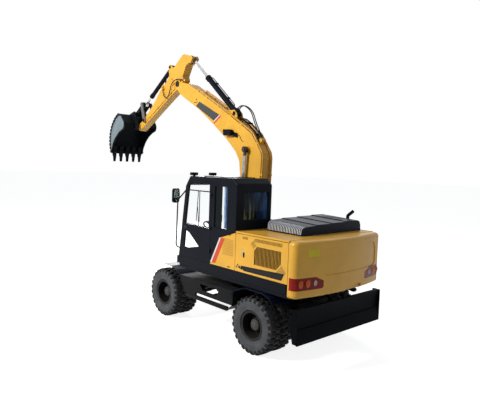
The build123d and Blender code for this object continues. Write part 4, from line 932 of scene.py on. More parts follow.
@dataclass
class Hoses(Assembly):
    """Hydraulic hoses in the place of the plain ones."""

    radius: float = 12
    pipes: tuple[float, ...] = (-136, -108, 108, 136)
    loops: tuple[float, ...] = (-26, 26)
    side: float = 166
    foot: Outline = ((-330, 1801), (-330, 2075), (-103.7, 2185), (-103.7, 2390))
    loop: Outline = ((1643, 1375), (2000, 1400), (2330, 1500), (2660, 1340), (2635, 1203))
    stick: Outline = ((-289, -89), (80, 270), (470, -120), (650, 20), (602, 222))

    def lay(self, name: str, route: list[Vector], bodies: tuple[str, str], node: str) -> None:
        """Args:
            name: the hose's name.
            route: its control points.
            bodies: not used.
            node: the plain hose that it stands for.
        """
        piece, path = Bench.hose(route, self.radius * MM)
        piece.name = piece.data.name = name
        self.dresser.coat(piece, "hose_rubber")
        length = sum((b - a).length for a, b in zip(path, path[1:]))
        tuple(path[0])
        [tuple(p) for p in path]
        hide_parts(node)
        tuple(path[0])
        tuple(path[-1])
        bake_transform(piece)

    def build(self) -> None:
        """Lays every hose."""
        for i, y in enumerate(self.pipes):
            self.lay(f"foot_hose_{i}", BODY.outline(self.foot, y), ("upper", "boom"), "foot_hoses")
        for i, y in enumerate(self.loops):
            self.lay(f"loop_hose_{i}", BOOM.outline(self.loop, y), ("boom", "arm_cyl_barrel"), "loop_hoses")
        self.lay("arm_hose", ARM.outline(self.stick, self.side), ("boom", "arm"), "stick_hose")


@dataclass
class TwinTyre(Assembly):
    """Pair of lug tyres on one hub, with the hub's disc and nuts."""

    pitch: float = 330
    lugs: int = 26
    # half of the carcass's section, to its crown: across, radius
    section: Outline = ((-92, 257), (-97, 279), (-122, 290), (-124, 306), (-121, 312), (-132, 350), (-136, 390),
                        (-134, 430), (-124, 468), (-112, 492), (0, 497))
    # rim of a lug's outline: across, radius, half its length round the tyre
    lug: tuple[Place, ...] = ((8, 486, 34), (8, 526.9, 25), (108, 523.9, 30), (126, 492, 34), (136, 442, 30),
                              (128, 436, 34), (100, 470, 40))
    slant: float = 0.2
    hub_face: float = 181
    # hub's end: height in millimetres, radius
    dome: Outline = ((0, 0.006), (0, 0.100), (8, 0.100), (14, 0.090), (14, 0.058), (26, 0.052), (30, 0.040),
                     (31, 0.006))
    stud: Outline = ((0, 0.001), (0, 0.015), (18, 0.015), (21, 0.011), (34, 0.008), (34, 0.001))
    nuts: int = 8
    studs: int = 10

    def tyre(self, centre: Vector) -> tuple[Piece, Piece]:
        """Builds one tyre.

        Args:
            centre: middle of the tyre.

        Returns:
            The carcass with its bead rings, and its two rows of lugs.
        """
        section = self.section + tuple((-across, radius) for across, radius in self.section[-2::-1])
        carcass = Bench.turned([(a * MM, r * MM) for a, r in section], centre, Axis.ACROSS, 64)
        rows = []
        for side, lead in ((-1, 0.0), (1, math.pi / self.lugs)):
            ends = ([], [])
            for across, radius, half in self.lug:
                for end, length in zip(ends, (-half, half)):
                    a = lead + (length - self.slant * across) / radius
                    end.append(centre + Vector((radius * math.sin(a), side * across, radius * math.cos(a))) * MM)
            near, far = ends
            lug = Bench.loop(near)
            bpy.ops.mesh.extrude_region()
            mesh = bmesh.from_edit_mesh(lug.data)
            for corner in [corner for corner in mesh.verts if corner.select]:
                corner.co = far[min(range(len(near)), key=lambda k: (near[k] - corner.co).length)]
            bmesh.update_edit_mesh(lug.data)
            rows.append(Bench.round(Bench.done(lug, 0.004, 1), self.lugs, centre))
        return carcass, Bench.join(rows)

    def hub(self, middle: Vector, side: int) -> list[Piece]:
        """Builds the hub's end with its nuts and studs.

        Args:
            middle: middle of the wheel.
            side: 1 on the left, -1 on the right.

        Returns:
            The parts of the hub's end.
        """
        out = side * MM
        face = middle + Vector((0, self.hub_face * out, 0))
        dome = Bench.turned([(h * out, r) for h, r in self.dome], face, Axis.ACROSS, 40, 0.002)
        nut = Bench.button(face + Vector((0, 10 * out, 0.075)), 0.011, 16 * out, 19 * out, 0.003, HEXAGON)
        foot = middle + Vector((0, 42 * out, 0.178))
        stud = Bench.turned([(h * out, r) for h, r in self.stud], foot, Axis.ACROSS, HEXAGON)
        return [dome, Bench.round(nut, self.nuts, face), Bench.round(stud, self.studs, middle)]

    def build(self) -> None:
        """Builds all eight tyres in the place of the plain ones, and the hubs' ends."""
        for wheel in WHEELS:
            low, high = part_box(f"tyre_{wheel}")
            middle = (low + high) / 2
            half = Vector((0, self.pitch / 2 * MM, 0))
            walls, treads = zip(self.tyre(middle - half), self.tyre(middle + half))
            wall = self.fit(f"sidewall_{wheel}", f"wheel_{wheel}", "sidewall_coat", *walls)
            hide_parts(f"tyre_{wheel}")
            self.fit(f"tread_{wheel}", f"wheel_{wheel}", "tyre_rubber_coat", *treads)
            side = 1 if wheel.endswith("left") else -1
            self.fit(f"hub_{wheel}", f"wheel_{wheel}", "hub_coat", *self.hub(middle, side))


@dataclass
class Counterweight(Assembly):
    """Curved rear: blank sticker and the lamps' inner discs."""

    rear: float = -2205
    bow: float = 5725.5
    sticker: tuple[Flat, Flat] = ((985, 745), (1925, 2045))
    # name, from the middle, above the ground, radius, radius of the crown's edge, steps, finish
    discs: tuple[tuple, ...] = (("amber_bulb_{}_0", 1110, 1478, 0.066, 0.050, 24, "amber_lens"),
                                ("amber_bulb_{}_1", 960, 1478, 0.066, 0.050, 24, "amber_lens"),
                                ("reversing_lens_{}", 800, 1476, 0.044, 0.034, 28, "clear_lens"))

    def face(self, y: float, z: float, lift: float = 0) -> Vector:
        """Gives a point on the curved rear, or above it by a lift in millimetres."""
        return at(self.rear + self.bow - math.sqrt(self.bow ** 2 - y ** 2) - lift, y, z)

    def build(self) -> None:
        """Fits the rear's small pieces."""
        (left, right), (low, high) = self.sticker
        ys = [left + (right - left) * i / 4 for i in range(5)]
        corners = [self.face(y, high) for y in ys] + [self.face(y, low) for y in reversed(ys)]
        self.fit("blank_sticker", "upper", "decal_yellow", Bench.plate(corners, (-1.2 * MM, 0, 0)))
        for name, side in SIDES:
            for disc, y, z, radius, crown, steps, finish in self.discs:
                profile = ((0.004, TIP), (0.004, radius), (0, radius + 0.004), (-0.006, crown), (-0.008, TIP))
                piece = Bench.turned(profile, self.face(side * y, z, 1), Axis.ALONG, steps)
                self.fit(disc.format(name), "upper", finish, piece)


@dataclass
class Decals(Assembly):
    """Coloured bands and blank plates stuck on the panels and the boom."""

    thickness: float = 1.2
    gap: float = 0.2
    # body, finish, corners on the left side: ahead of the swing axis, above the ground
    bands: tuple[tuple[str, str, Outline], ...] = (
        ("left_front_door", "decal_white", ((-150, 2009), (-190, 2009), (70, 1492), (110, 1492))),
        ("left_front_door", "decal_red", ((-190, 2009), (-305, 2009), (-45, 1492), (70, 1492))),
        ("left_rear_door", "decal_black", ((-850, 1490), (-760, 1575), (-1840, 1618), (-1775, 1497))),
        ("left_rear_door", "decal_black", ((-735, 1512), (-700, 1545), (-735, 1572), (-770, 1540))),
        ("left_rear_door", "decal_black", ((-790, 1497), (-757, 1528), (-790, 1556), (-825, 1524))),
        ("left_rear_door", "decal_black", ((-690, 1556), (-668, 1577), (-690, 1596), (-712, 1575))),
        ("left_rear_door", "decal_black", ((-660, 1516), (-636, 1538), (-660, 1558), (-684, 1536))),
    )
    boom_side: float = 150
    # finish, corners on the boom's side: along it, above its axis
    boom_bands: tuple[tuple[str, Outline], ...] = (
        ("decal_grey", ((3593, 398), (2845, 757), (2872, 527), (3601, 235))),
        ("decal_white", ((2845, 757), (2818, 771), (2846, 515), (2872, 527))),
        ("decal_red", ((2818, 771), (2775, 792), (2803, 497), (2846, 515))),
        ("decal_grey", ((3668, 330), (3632, 347), (3634, 300), (3670, 283))),
        ("decal_grey", ((3728, 352), (3700, 365), (3701, 330), (3729, 317))),
        ("decal_grey", ((3716, 268), (3684, 282), (3685, 243), (3717, 229))),
    )

    def build(self) -> None:
        """Sticks the bands and plates on."""
        depth = Vector((0, self.thickness * MM, 0))
        for i, (body, finish, corners) in enumerate(self.bands):
            self.fit(f"band_{i}", body, finish, Bench.plate(BODY.outline(corners, WALL + self.gap), depth))
        for i, (finish, corners) in enumerate(self.boom_bands):
            for j, side in enumerate((1, -1)):
                places = BOOM.outline(corners, side * (self.boom_side + self.gap))
                self.fit(f"boom_band_{i}_{j}", "boom", finish, Bench.plate(places, depth * side))


@dataclass
class Mirrors(Assembly):
    """Mirror glasses in their heads."""

    left: Place = (1368, 1196, 2709)
    right: Place = (1221, -1214, 2250)
    half: Flat = (78, 135)
    corners: int = 24
    fullness: float = 0.7
    depth: float = 0.003

    def build(self) -> None:
        """Fits both glasses, round-cornered."""
        for name, (x, y, z) in (("left", self.left), ("right", self.right)):
            rim = []
            for i in range(self.corners):
                a = 2 * math.pi * i / self.corners
                wide, tall = (math.copysign(abs(v) ** self.fullness, v) for v in (math.cos(a), math.sin(a)))
                rim.append(at(x, y + self.half[0] * wide, z + self.half[1] * tall))
            self.fit(f"mirror_glass_{name}", "upper", "mirror_plating", Bench.plate(rim, (-self.depth, 0, 0)))


@dataclass
class Cab(Assembly):
    """Cab fittings: seals, bars, handle, wiper, lamps' lenses, levers, curtain."""

    # name, body, pane's corners ahead of the swing axis and above the ground
    panes: tuple[tuple[str, str, Outline], ...] = (
        ("door_seal_upper", "cab_door", ((200, 2152), (976, 2170), (873, 2944), (800, 3002), (202, 3015))),
        ("door_seal_lower", "cab_door", ((486, 1733), (842, 1657), (993, 1667), (954, 2030), (830, 1982))),
        ("side_seal", "upper", ((-338, 2182), (29, 2182), (29, 2993), (-338, 2993))),
    )
    rear_pane: tuple[Place, ...] = ((-592, 391, 2378), (-592, 1059, 2378), (-592, 1059, 2906), (-592, 391, 2906))
    pane_depth: float = 12
    seal_radius: float = 0.007
    seal_turn: float = 0.045
    lamp_tilt: float = 40
    folds: int = 4
    fold_steps: int = 8
    curtain_width: float = 150.0
    curtain_height: float = 800.0
    fold_depth: float = 17.0

    def seal(self, name: str, corners: Sequence[Vector], body: str) -> None:
        """Runs a rubber seal round a pane.

        Args:
            name: the seal's name.
            corners: the pane's corners in order.
            body: the body it moves with.
        """
        route = []
        for before, corner, after in zip(corners[-1:] + corners[:-1], corners, corners[1:] + corners[:1]):
            near, far = (corner + (other - corner).normalized() * self.seal_turn for other in (before, after))
            route += [near, corner, far]
        curve = Bench.line(route, self.seal_radius, 3)
        spline = curve.data.splines[0]
        spline.use_endpoint_u, spline.use_cyclic_u = False, True
        self.fit(name, body, "black_coat", Bench.solid(curve))

    def windows(self) -> None:
        """Seals the panes and fits the door window's bars."""
        for name, body, shape in self.panes:
            self.seal(name, BODY.outline(shape, WALL - self.pane_depth), body)
        self.seal("rear_seal", run(*self.rear_pane), "upper")
        self.fit("door_window_bars", "cab_door", "black_coat",
                 Bench.box((196, WALL - 24, 2852), (905, WALL - 6, 2874), 0.004),
                 Bench.box((515, WALL - 22, 2230), (530, WALL - 8, 2856), 0.003))

    def fittings(self) -> None:
        """Fits the handle and the wiper."""
        self.fit("door_handle", "cab_door", "cab_moulding",
                 Bench.box((905, WALL - 4, 2060), (1010, WALL + 5, 2112), 0.004),
                 Bench.box((915, WALL + 4, 2078), (1000, WALL + 16, 2096), 0.005))
        self.fit("wiper", "upper", "cab_moulding",
                 Bench.tube(run((1098, 780, 1930), (1076, 800, 2110), (1020, 900, 2560)), 0.007),
                 Bench.tube(run((1068, 880, 2180), (1032, 890, 2460), (985, 905, 2830)), 0.009))

    def lamps(self) -> None:
        """Fits the roof lamps, and lenses to the slanted ones below them."""
        lamps = []
        for y in (634, 1133):
            lamps.append(Bench.box((822, y - 82, 3168), (898, y + 82, 3228), 0.008))
            lamps.append(Bench.box((835, y - 20, 3140), (870, y + 20, 3172), 0.003))
            lens = Bench.box((896, y - 72, 3176), (903, y + 72, 3220), 0.003)
            self.fit(f"lamp_lens_{y}", "upper", "clear_lens", lens)
        self.fit("roof_lamps", "upper", "black_coat", *lamps)
        tilt = math.radians(self.lamp_tilt)
        out, up = Vector((math.cos(tilt), 0, -math.sin(tilt))), Vector((math.sin(tilt), 0, math.cos(tilt)))
        shape = ((-0.062, -0.022), (0.062, -0.022), (0.062, 0.024), (-0.062, 0.024))
        for i, y in enumerate((500, 1100)):
            corners = [at(905, y, 3108) + out * 0.035 + up * h + Vector((0, w, 0)) for w, h in shape]
            self.fit(f"roof_lamp_lens_{i}", "upper", "clear_lens", Bench.plate(corners, out * 0.006, 0.002))

    def inside(self) -> None:
        """Fits the levers, the monitor and the pedals."""
        knob = ((0, 0.004), (0, 0.018), (0.045, 0.026), (0.085, 0.024), (0.105, 0.012), (0.108, 0.004))
        parts = []
        for y in (460, 1100):
            parts.append(Bench.tube(run((300, y, 1930), (318, y, 2010), (330, y, 2080)), 0.010))
            parts.append(Bench.turned(knob, at(330, y, 2070), Axis.UP, 20))
        parts.append(Bench.box((820, 350, 2150), (850, 560, 2310), 0.010))
        parts.append(Bench.tube(run((850, 400, 1900), (846, 400, 2050), (836, 400, 2160)), 0.014))
        for y in (700, 860):
            parts.append(Bench.tube(run((790, y, 1345), (770, y, 1450), (720, y, 1520)), 0.016))
        self.fit("cab_levers", "upper", "cab_moulding", *parts)

    def curtain(self) -> None:
        """Hangs the gathered curtain behind the rear side window; the pale colour of its front part is painted light.
        """
        height, steps = self.curtain_height, self.folds * self.fold_steps
        wave = 2 * math.pi / self.fold_steps
        line = [(-335 + self.curtain_width * i / steps, 1188 + self.fold_depth * math.sin(wave * i))
                for i in range(steps + 1)]
        flat = sum(math.dist(a, b) for a, b in zip(line, line[1:]))
        Bench.clear()
        bpy.ops.mesh.primitive_grid_add(x_subdivisions=steps, y_subdivisions=14, size=1)
        piece = bpy.context.object
        for corner in piece.data.vertices:
            i = round((corner.co.x + 0.5) * steps)
            down = 0.5 - corner.co.y
            x, y = line[i]
            corner.co = at(x, y + 6 * down * math.sin(5 * down + i * 0.4), 2990 - height * down)
        bpy.ops.object.shade_smooth()
        self.fit("curtain", "upper", "curtain_weave_and_light", piece)

    def build(self) -> None:
        """Fits everything in and on the cab."""
        self.windows()
        self.fittings()
        self.lamps()
        self.inside()
        self.curtain()


@dataclass
class Seat(Assembly):
    """Operator's seat: padded base and back on a stand."""

    y: float = 780
    edge: float = 0.028
    voxel: float = 0.012
    swell: float = 0.014
    pressure: float = 4
    frames: int = 16
    seams: Flat = (-0.11, 0.11)
    seam_half: float = 0.014
    seam_depth: float = 0.006

    def stuff(self, piece: Piece) -> None:
        """Blows a cushion up from inside, no further than its swell.

        Args:
            piece: the cushion.
        """
        rest = [corner.co.copy() for corner in piece.data.vertices]
        cloth = piece.modifiers.new("stuffing", "CLOTH")
        cloth.settings.use_pressure = True
        cloth.settings.uniform_pressure_force = self.pressure
        cloth.settings.effector_weights.gravity = 0
        for step in range(1, self.frames + 1):
            bpy.context.scene.frame_set(step)
        bpy.ops.object.modifier_apply(modifier=cloth.name)
        for corner, place in zip(piece.data.vertices, rest):
            way = corner.co - place
            if way.length > self.swell:
                corner.co = place + way.normalized() * self.swell
        bpy.context.scene.frame_set(1)

    def pad(self, name: str, low: Place, high: Place, lean: float) -> Piece:
        """Makes one padded cushion.

        Args:
            name: the cushion's name.
            low: its lowest corner.
            high: its highest corner.
            lean: degrees that its top leans back.

        Returns:
            The cushion.
        """
        start, end = at(*low), at(*high)
        piece = Bench.cube(end - start)
        bpy.ops.mesh.bevel(offset=self.edge, segments=3, affect="EDGES")
        Bench.shut()
        remesh = piece.modifiers.new("voxels", "REMESH")
        remesh.mode, remesh.voxel_size = "VOXEL", self.voxel
        bpy.ops.object.modifier_apply(modifier=remesh.name)
        self.stuff(piece)
        for corner in piece.data.vertices:
            for line in self.seams:
                near = abs(corner.co.y - line)
                if near < self.seam_half and abs(corner.co.z) + abs(corner.co.x) > 0.05:
                    corner.co -= corner.normal * self.seam_depth * (1 - near / self.seam_half)
        Bench.place(piece, (start + end) / 2, math.radians(lean))
        bpy.ops.object.shade_smooth()
        self.fit(name, "upper", "seat_weave", piece)
        return piece

    def build(self) -> None:
        """Puts the seat together in the place of the plain one."""
        y = self.y
        base = self.pad("seat_cushion", (-110, y - 215, 1755), (345, y + 215, 1845), 0)
        self.pad("seat_back", (-150, y - 205, 1880), (-60, y + 205, 2470), 9)
        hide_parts("operator_seat")
        self.fit("seat_stand", "upper", "cab_moulding",
                 Bench.box((-40, y - 140, 1341), (250, y + 140, 1540), 0.012),
                 Bench.box((-20, y - 120, 1535), (230, y + 120, 1690), 0.020),
                 Bench.box((-90, y - 200, 1685), (300, y + 200, 1745), 0.010),
                 Bench.box((-90, y - 265, 1990), (180, y - 215, 2030), 0.012),
                 Bench.box((-90, y + 215, 1990), (180, y + 265, 2030), 0.012))


@dataclass
class Panels(Assembly):
    """Trim of the side panels and the hood."""

    slope: float = 38 / 870
    hood_front: float = -830
    rib: float = -645
    stripe_step: float = 21
    slot_step: float = 28
    slot_lean: float = 4
    slot_top: float = 2116
    wire_gap: int = 20

    def strip(self, ends: tuple[Flat, Flat], side: int, half: float) -> Piece:
        """Lays one narrow dark strip on a side panel.

        Args:
            ends: middles of its two ends.
            side: 1 on the left, -1 on the right.
            half: half its width.

        Returns:
            The strip.
        """
        (x1, z1), (x2, z2) = ends
        share = half / math.hypot(x2 - x1, z2 - z1)
        nx, nz = (z1 - z2) * share, (x2 - x1) * share
        shape = ((x1 + nx, z1 + nz), (x2 + nx, z2 + nz), (x2 - nx, z2 - nz), (x1 - nx, z1 - nz))
        return Bench.plate(BODY.outline(shape, side * (WALL + 0.1)), (0, side * 0.0008, 0))

    def vents(self, middle: float, first: float, count: int, low: float) -> list[tuple[Flat, Flat]]:
        """Gives the ends of each slot in a row.

        Args:
            middle: place of the row's middle.
            first: slots from its first one to its middle.
            count: how many slots it has.
            low: height of their lower ends.

        Returns:
            Lower and upper end of each slot.
        """
        xs = [middle + self.slot_step * (i - first) for i in range(count)]
        return [((x + self.slot_lean, low), (x - self.slot_lean, self.slot_top)) for x in xs]

    def slots(self, side: int, body: str) -> None:
        """Lays the dark stripes beside the grille's slanted corners, and the slots of the vent rows as strips of
        painted shade.

        Args:
            side: 1 on the left, -1 on the right.
            body: the rear door of that side.
        """
        front, rear = ([self.stripe_step * i for i in range(1, count)] for count in (5, 6))
        rows = [((-1104 + d, 1918 + d), (-1172 + d, 1986 + d)) for d in front]
        rows += [((-1756 - d, 1754 - d), (-1634 - d, 1632 - d)) for d in rear]
        vents = self.vents(-1440, 11.5, 24, 2060) + self.vents(-865, 2, 5, 2072)
        self.fit(f"corner_stripes_{body}", body, "decal_black", *[self.strip(row, side, 5) for row in rows])
        # the vent slots are flat strips of painted shade
        self.fit(f"vent_slot_shade_{body}", body, "slot_and_grille_shade_coat", *[self.strip(vent, side, 6) for vent in vents])

    def grille(self, side: int, body: str) -> None:
        """Stretches wires behind a grille, shorter where its corners slant, in a deep brown of painted shade.

        Args:
            side: 1 on the left, -1 on the right.
            body: the rear door of that side.
        """
        wires = []
        y = side * (WALL - 6)
        for z in range(1668, 1988, self.wire_gap):
            left, right = -1744 + max(0, 1756 - z), -1116 - max(0, z - 1914)
            wires.append(Bench.box((left, y - 1.5, z - 2), (right, y + 1.5, z + 2)))
        self.fit(f"grille_wires_{body}", body, "slot_and_grille_shade_coat", *wires)

    def latch(self, name: str, side: int, body: str) -> None:
        """Fits a rear door's latch.

        Args:
            name: the side's name.
            side: 1 on the left, -1 on the right.
            body: the rear door of that side.
        """
        x, z = -842, 1782
        parts = []
        for wide, tall, low, high in ((22, 46, WALL, WALL + 3), (12, 30, WALL + 2, WALL + 10)):
            parts.append(Bench.box((x - wide, side * low, z - tall), (x + wide, side * high, z + tall), 0.004))
        self.fit(f"rear_door_latch_{name}", body, "black_coat", *parts)

    def left_doors(self) -> None:
        """Fits the front door's hinges, its pressed holes as flat patches of darker yellow painted shade, and the
        rear door's blank label.
        """
        hinges = [Bench.box((-470, WALL, z - 9), (-405, WALL + 7, z + 9), 0.003) for z in (1492, 2098)]
        self.fit("front_door_hinges", "left_front_door", "black_coat", *hinges)
        # flat darker-yellow patches: painted shade where the pressed holes are
        holes = [Bench.box((x, WALL - 1, z), (x + 23, WALL + 0.8, z + 17))
                 for x in range(-545, -239, 34) for z in range(1705, 2024, 29)]
        self.fit("front_door_hole_shade", "left_front_door", "hole_shade_coat", *holes)
        self.fit("blank_label", "left_rear_door", "decal_cream",
                 Bench.box((-868, WALL, 1765), (-760, WALL + 1, 1882)))

    def fall(self, x: float) -> float:
        """Gives how far the hood has fallen at a place along it."""
        return self.slope * (self.hood_front - x)

    def hood(self) -> None:
        """Fits the hood's perforation, and its louvre fins coloured near white as a painted reflection of the pale
        sky.
        """
        holes = []
        for x in range(-1090, -1552, -42):
            for y in range(-1000, -540, 46):
                if abs(y - self.rib) > 26:
                    top = 2434 - (0 if y < self.rib else 11) - self.fall(x)
                    holes.append(Bench.box((x - 10, y - 12, top - 2), (x + 10, y + 12, top + 1.5)))
        self.fit("hood_perforation", "hood", "hub_coat", *holes)
        # the fins' near-white colour is a painted reflection
        fins = []
        for x in range(-861, -1697, -38):
            upper = ((656, 2337), (618, 2372), (560, 2392), (558, 2386), (614, 2366), (651, 2333))
            side = [(661, 2215), (664, 2215)] + [(y, z - self.fall(x)) for y, z in upper]
            fins.append(Bench.plate([at(x, y, z) for y, z in side], (-0.013, 0, 0)))
        self.fit("hood_fins_reflection", "hood", "fin_reflection_coat", *fins)

    def build(self) -> None:
        """Fits the trim."""
        for work in (self.slots, self.grille):
            for name, side in SIDES:
                work(side, f"{name}_rear_door")
        for name, side in SIDES:
            self.latch(name, side, f"{name}_rear_door")
        self.left_doors()
        self.hood()


@dataclass
class Steps(Assembly):
    """Open step boxes of sheet steel between the axles, with toothed treads."""

    inner: float = 640
    outer: float = 1235
    skin: float = 0.008
    faces: tuple[Outline, ...] = (
        ((-577, 1047), (1124, 1047), (1118, 1035), (1091, 985), (-520, 985)),
        ((-571, 985), (-166, 985), (-108, 866), (-572, 866), (-575, 930)),
        ((439, 985), (1091, 985), (1028, 866), (340, 866)),
        ((-572, 866), (1028, 866), (979, 775), (-562, 775)),
        ((571, 775), (979, 775), (948, 716), (571, 716)),
    )
    ends: tuple[Outline, ...] = (
        ((1119, 1037), (903, 632), (896, 636), (1111, 1037)),
        ((-572, 1040), (-556, 764), (-366, 634), (-360, 642), (-547, 770), (-564, 1040)),
    )

    def side(self, s: int) -> list[Piece]:
        """Builds the step box of one side.

        Args:
            s: 1 on the left, -1 on the right.

        Returns:
            Its plates and treads.
        """
        pieces = [Bench.plate(BODY.outline(face, s * self.outer), (0, -s * self.skin, 0)) for face in self.faces]
        pieces.append(Bench.box((-570, s * self.inner, 1037), (1118, s * (self.outer - 4), 1046)))
        across = (0, s * (self.outer - self.inner) * MM, 0)
        pieces += [Bench.plate(BODY.outline(end, s * self.inner), across) for end in self.ends]
        pieces.append(Bench.box((-400, s * 1175, 634), (905, s * 1233, 704), 0.004))
        tooth = Bench.box((-392, s * 1180, 703), (-372, s * 1230, 712))
        upper_tooth = Bench.box((-540, s * 1190, 1040), (-518, s * 1234, 1047))
        pieces.append(Bench.box((-20, s * 484, 725), (540, s * 650, 860), 0.006))
        pieces += [Bench.box((x, s * self.inner, 790), (x + 50, s * 1229, 850), 0.004) for x in (20, 480)]
        return pieces + Bench.row(tooth, 32, 0.040) + Bench.row(upper_tooth, 37, 0.044)

    def build(self) -> None:
        """Builds both step boxes in the place of the plain ones."""
        piece = self.fit("open_steps", "chassis", "chassis_coat", *self.side(1), *self.side(-1))
        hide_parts("step_boxes")


@dataclass
class Gear(Assembly):
    """Working gear's trim: pin caps, cylinder pipes, lamp lens, bucket sides and boom lines."""

    # name, body, member, along, up, side face, radius
    pins: tuple[tuple, ...] = (
        ("tip_cap", "boom", BOOM, BOOM_LENGTH, 0, 150, 78),
        ("foot_cap", "upper", BOOM, 0, 0, 192, 52),
        ("bucket_cap", "arm", ARM, ARM_LENGTH, 0, 175, 46),
        ("guide_cap", "arm", ARM, ARM_LENGTH - 351, 0, 175, 46),
        ("link_cap", "bucket", BUCKET, 414, 0, 175, 42),
        ("base_cap", "boom", BOOM, 2586, 1102, 91, 44),
        ("stick_cap", "arm", ARM, 163, 639, 83, 40),
    )
    bend: Outline = ((2470, 1065), (2400, 1165), (2290, 1225), (2068, 1290), (1823, 1335), (1640, 1325), (1560, 1290))
    bucket_side: float = 520
    shell_middle: Flat = (-243.048, -318.3386)
    shell_radius: float = 723.057
    shell_arc: Flat = (-1.502505, 0.100976)
    lip: Outline = ((425, -165), (205, -98), (95, -125), (42, -200), (62, -480), (0, -780), (-70, -915))
    # name, middle of the barrel's foot pin, middle of the rod's eye, barrel's radius, share that the pipes reach
    runs: tuple[tuple, ...] = (("arm", ARM_BASE_PIN, ARM_EYE, 0.065, 0.60),
                               ("bucket", BUCKET_BASE_PIN, BUCKET_EYE, 0.056, 0.55))

    def caps(self) -> None:
        """Puts a keeper plate with three bolts on both ends of each pin."""
        for name, body, member, along, up, face, radius in self.pins:
            halves = []
            for side in (1, -1):
                spot = member.at(along, side * (face + 0.3), up)
                halves.append(Bench.button(spot, radius * MM, side * 0.008, side * 0.011, 0.004, 28))
                foot = spot + Vector((0, side * 0.010, radius * 0.55 * MM))
                bolt = Bench.button(foot, 0.010, side * 0.008, side * 0.010, 0.002, HEXAGON)
                halves.append(Bench.round(bolt, 3, spot))
            self.fit(name, body, "rim_coat", *halves)

    def lamp(self) -> None:
        """Fits the work lamp's lens, its bracket and its lead."""
        corners = [BOOM.at(2418, y, 742) for y in (180, 250)] + [BOOM.at(2304, y, 671) for y in (250, 180)]
        way = (BOOM.at(2418, 0, 742) - BOOM.at(2258, 0, 926)).normalized()
        self.fit("work_lamp_lens", "boom", "clear_lens", Bench.plate(corners, way * 0.004, 0.002))
        route = ((2170, 185, 860), (2120, 170, 900), (2094, 158, 967), (2010, 156, 1000), (1890, 156, 976),
                 (1850, 152, 1010))
        bracket = BOOM.outline(((2230, 880), (2110, 985), (2020, 930), (2140, 830)), 150.3)
        self.fit("lamp_fixing", "boom", "black_coat", Bench.tube([BOOM.at(*place) for place in route], 0.006),
                 Bench.plate(bracket, (0, 0.006, 0), 0.001))

    def bucket(self) -> None:
        """Lines the bucket's sides with their worn plates."""
        (x, z), (start, end) = self.shell_middle, self.shell_arc
        turns = [start + (end - start) * i / 12 for i in range(13)]
        arc = [(x + self.shell_radius * math.cos(a), z + self.shell_radius * math.sin(a)) for a in turns]
        for name, side in SIDES:
            corners = BUCKET.outline(arc + list(self.lip), side * (self.bucket_side + 0.3))
            plate = Bench.plate(corners, (0, side * 0.0025, 0), 0.001)
            self.fit(f"bucket_plate_{name}", "bucket", "bucket_side", plate)

    def pipes(self) -> None:
        """Runs the steel pipes and their clamps along the cylinders' barrels."""
        for name, low, high, radius, share in self.runs:
            way = high - low
            up = Vector((-way.z, 0, way.x)).normalized()
            if up.z < 0:
                up = -up
            bends = ((0.10, 0.92), (0.11, 1.24), (0.14, 1.24))
            bends += ((share - 0.05, 1.24), (share - 0.01, 1.24), (share, 0.92))
            pieces = []
            for side in (-0.030, 0.030):
                route = [low + way * s + up * radius * h + Vector((0, side, 0)) for s, h in bends]
                pieces.append(Bench.tube(route, 0.010))
            for s in (0.22, share - 0.12):
                clamp = Bench.block(Vector((-0.018, -0.050, -0.014)), Vector((0.018, 0.050, 0.020)), 0.003)
                Bench.place(clamp, low + way * s + up * radius * 1.12, math.atan2(way.z, way.x))
                pieces.append(clamp)
            self.fit(f"{name}_cylinder_pipes", f"{name}_cyl_barrel", "black_coat", *pieces)

    def lines(self) -> None:
        """Runs the clamped lines over the bend of the boom."""
        pieces = []
        for i, y in enumerate((-84, -56, 56, 84)):
            pieces.append(Bench.tube([BOOM.at(along, y, up + 3 * i) for along, up in self.bend], 0.011))
        for along, up in ((2150, 1262), (1780, 1318)):
            pieces.append(Bench.block(BOOM.at(along, -100, up) - Vector((0.012, 0, 0.012)),
                                      BOOM.at(along, 100, up) + Vector((0.012, 0, 0.028)), 0.003))
        self.fit("boom_lines", "boom", "black_coat", *pieces)

    def build(self) -> None:
        """Fits the working gear's trim."""
        self.caps()
        self.lamp()
        self.bucket()
        self.pipes()
        self.lines()


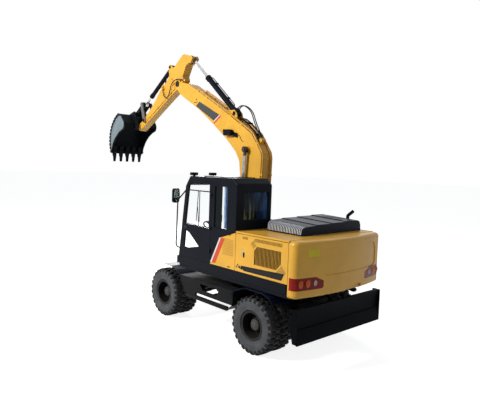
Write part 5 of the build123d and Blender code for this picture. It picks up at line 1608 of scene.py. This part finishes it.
@dataclass
class Studio:
    """Pale floor, soft lamps and the camera."""

    lens: float = 36.3945
    shift: Flat = (0.02467, -0.0340)
    stand: Place = (-7.18556, 7.26107, 3.41178)
    turn: Place = (86.7403, -1.93, -131.2644)
    floor_colour: Colour = (0.62, 0.62, 0.62)
    floor_white: float = 0.86
    room_colour: Colour = (0.90, 0.95, 1.0)
    room: float = 0.20
    aim: Place = (0, 0, 1.5)
    # name, place, size, power, colour
    lamps: tuple[tuple, ...] = (("sun_window", (2.0, 12.0, 9.0), 2.6, 1750, (1.0, 0.96, 0.90)),
                                ("front_fill", (12.0, -8.0, 7.0), 6.0, 900, (0.97, 0.98, 1.0)),
                                ("rear_fill", (-12.0, -2.0, 6.0), 6.0, 60, (0.95, 0.97, 1.0)))

    def camera(self) -> None:
        """Sets up the camera."""
        data = bpy.data.cameras.new("camera")
        data.lens, data.sensor_width, data.clip_end = self.lens, 36, 200
        data.shift_x, data.shift_y = self.shift
        camera = bpy.data.objects.new("camera", data)
        camera.location = (SWING + self.stand[0], self.stand[1], self.stand[2])
        camera.rotation_euler = [math.radians(v) for v in self.turn]
        bpy.context.scene.collection.objects.link(camera)
        bpy.context.scene.camera = camera

    def light(self) -> None:
        """Hangs the soft square lamps, all facing the machine."""
        for name, place, size, power, colour in self.lamps:
            data = bpy.data.lights.new(name, "AREA")
            data.shape, data.size, data.energy, data.color = "SQUARE", size, power, colour
            lamp = bpy.data.objects.new(name, data)
            lamp.location = place
            lamp.rotation_euler = (Vector(self.aim) - Vector(place)).to_track_quat("-Z", "Y").to_euler()
            bpy.context.scene.collection.objects.link(lamp)

    def floor(self) -> None:
        """Lays the floor, white to the camera, to gloss and to glass, with the machine's shadow kept."""
        Bench.clear()
        bpy.ops.mesh.primitive_plane_add(size=240)
        floor = bpy.context.object
        floor.name = "floor"
        g = Graph(bpy.data.materials.new("floor_paper"))
        floor.data.materials.append(g.finish({
            "Base Color": self.floor_colour, "Roughness": 1.0, "Specular IOR Level": 0.0,
            "Emission Color": (1, 1, 1), "Emission Strength": g.sum("MULTIPLY", g.rays(), self.floor_white)}))

    def world(self) -> None:
        """Lights the room evenly, with a white wall behind."""
        bpy.context.scene.world = bpy.data.worlds.new("room")
        g = Graph(bpy.context.scene.world, "Background")
        g.fill(g.shader, {"Color": self.room_colour, "Strength": self.room})
        white = g.node("ShaderNodeBackground", {"Color": (1, 1, 1), "Strength": 1.0})
        seen = g.node("ShaderNodeMixShader", {0: g.rays(), 1: g.shader.outputs[0], 2: white.outputs[0]})
        g.fill(g.nodes["World Output"], {"Surface": seen.outputs[0]})

    def build(self) -> None:
        """Sets the room up."""
        bpy.context.scene.view_settings.view_transform = "Standard"
        self.camera()
        self.floor()
        self.world()
        self.light()


def main() -> None:
    """Builds the studio and every piece of the machine's looks in order."""
    logging.basicConfig(level=logging.INFO, format="%(name)s: %(message)s")
    Studio().build()
    dresser = Dresser()
    dresser.dress_frame()
    for assembly in (Hoses, TwinTyre, Counterweight, Decals, Panels, Steps, Mirrors, Cab, Seat, Gear):
        log.info("building %s", assembly.__name__)
        assembly(dresser).build()
    Bench.clear()


if __name__ == "__main__":
    main()
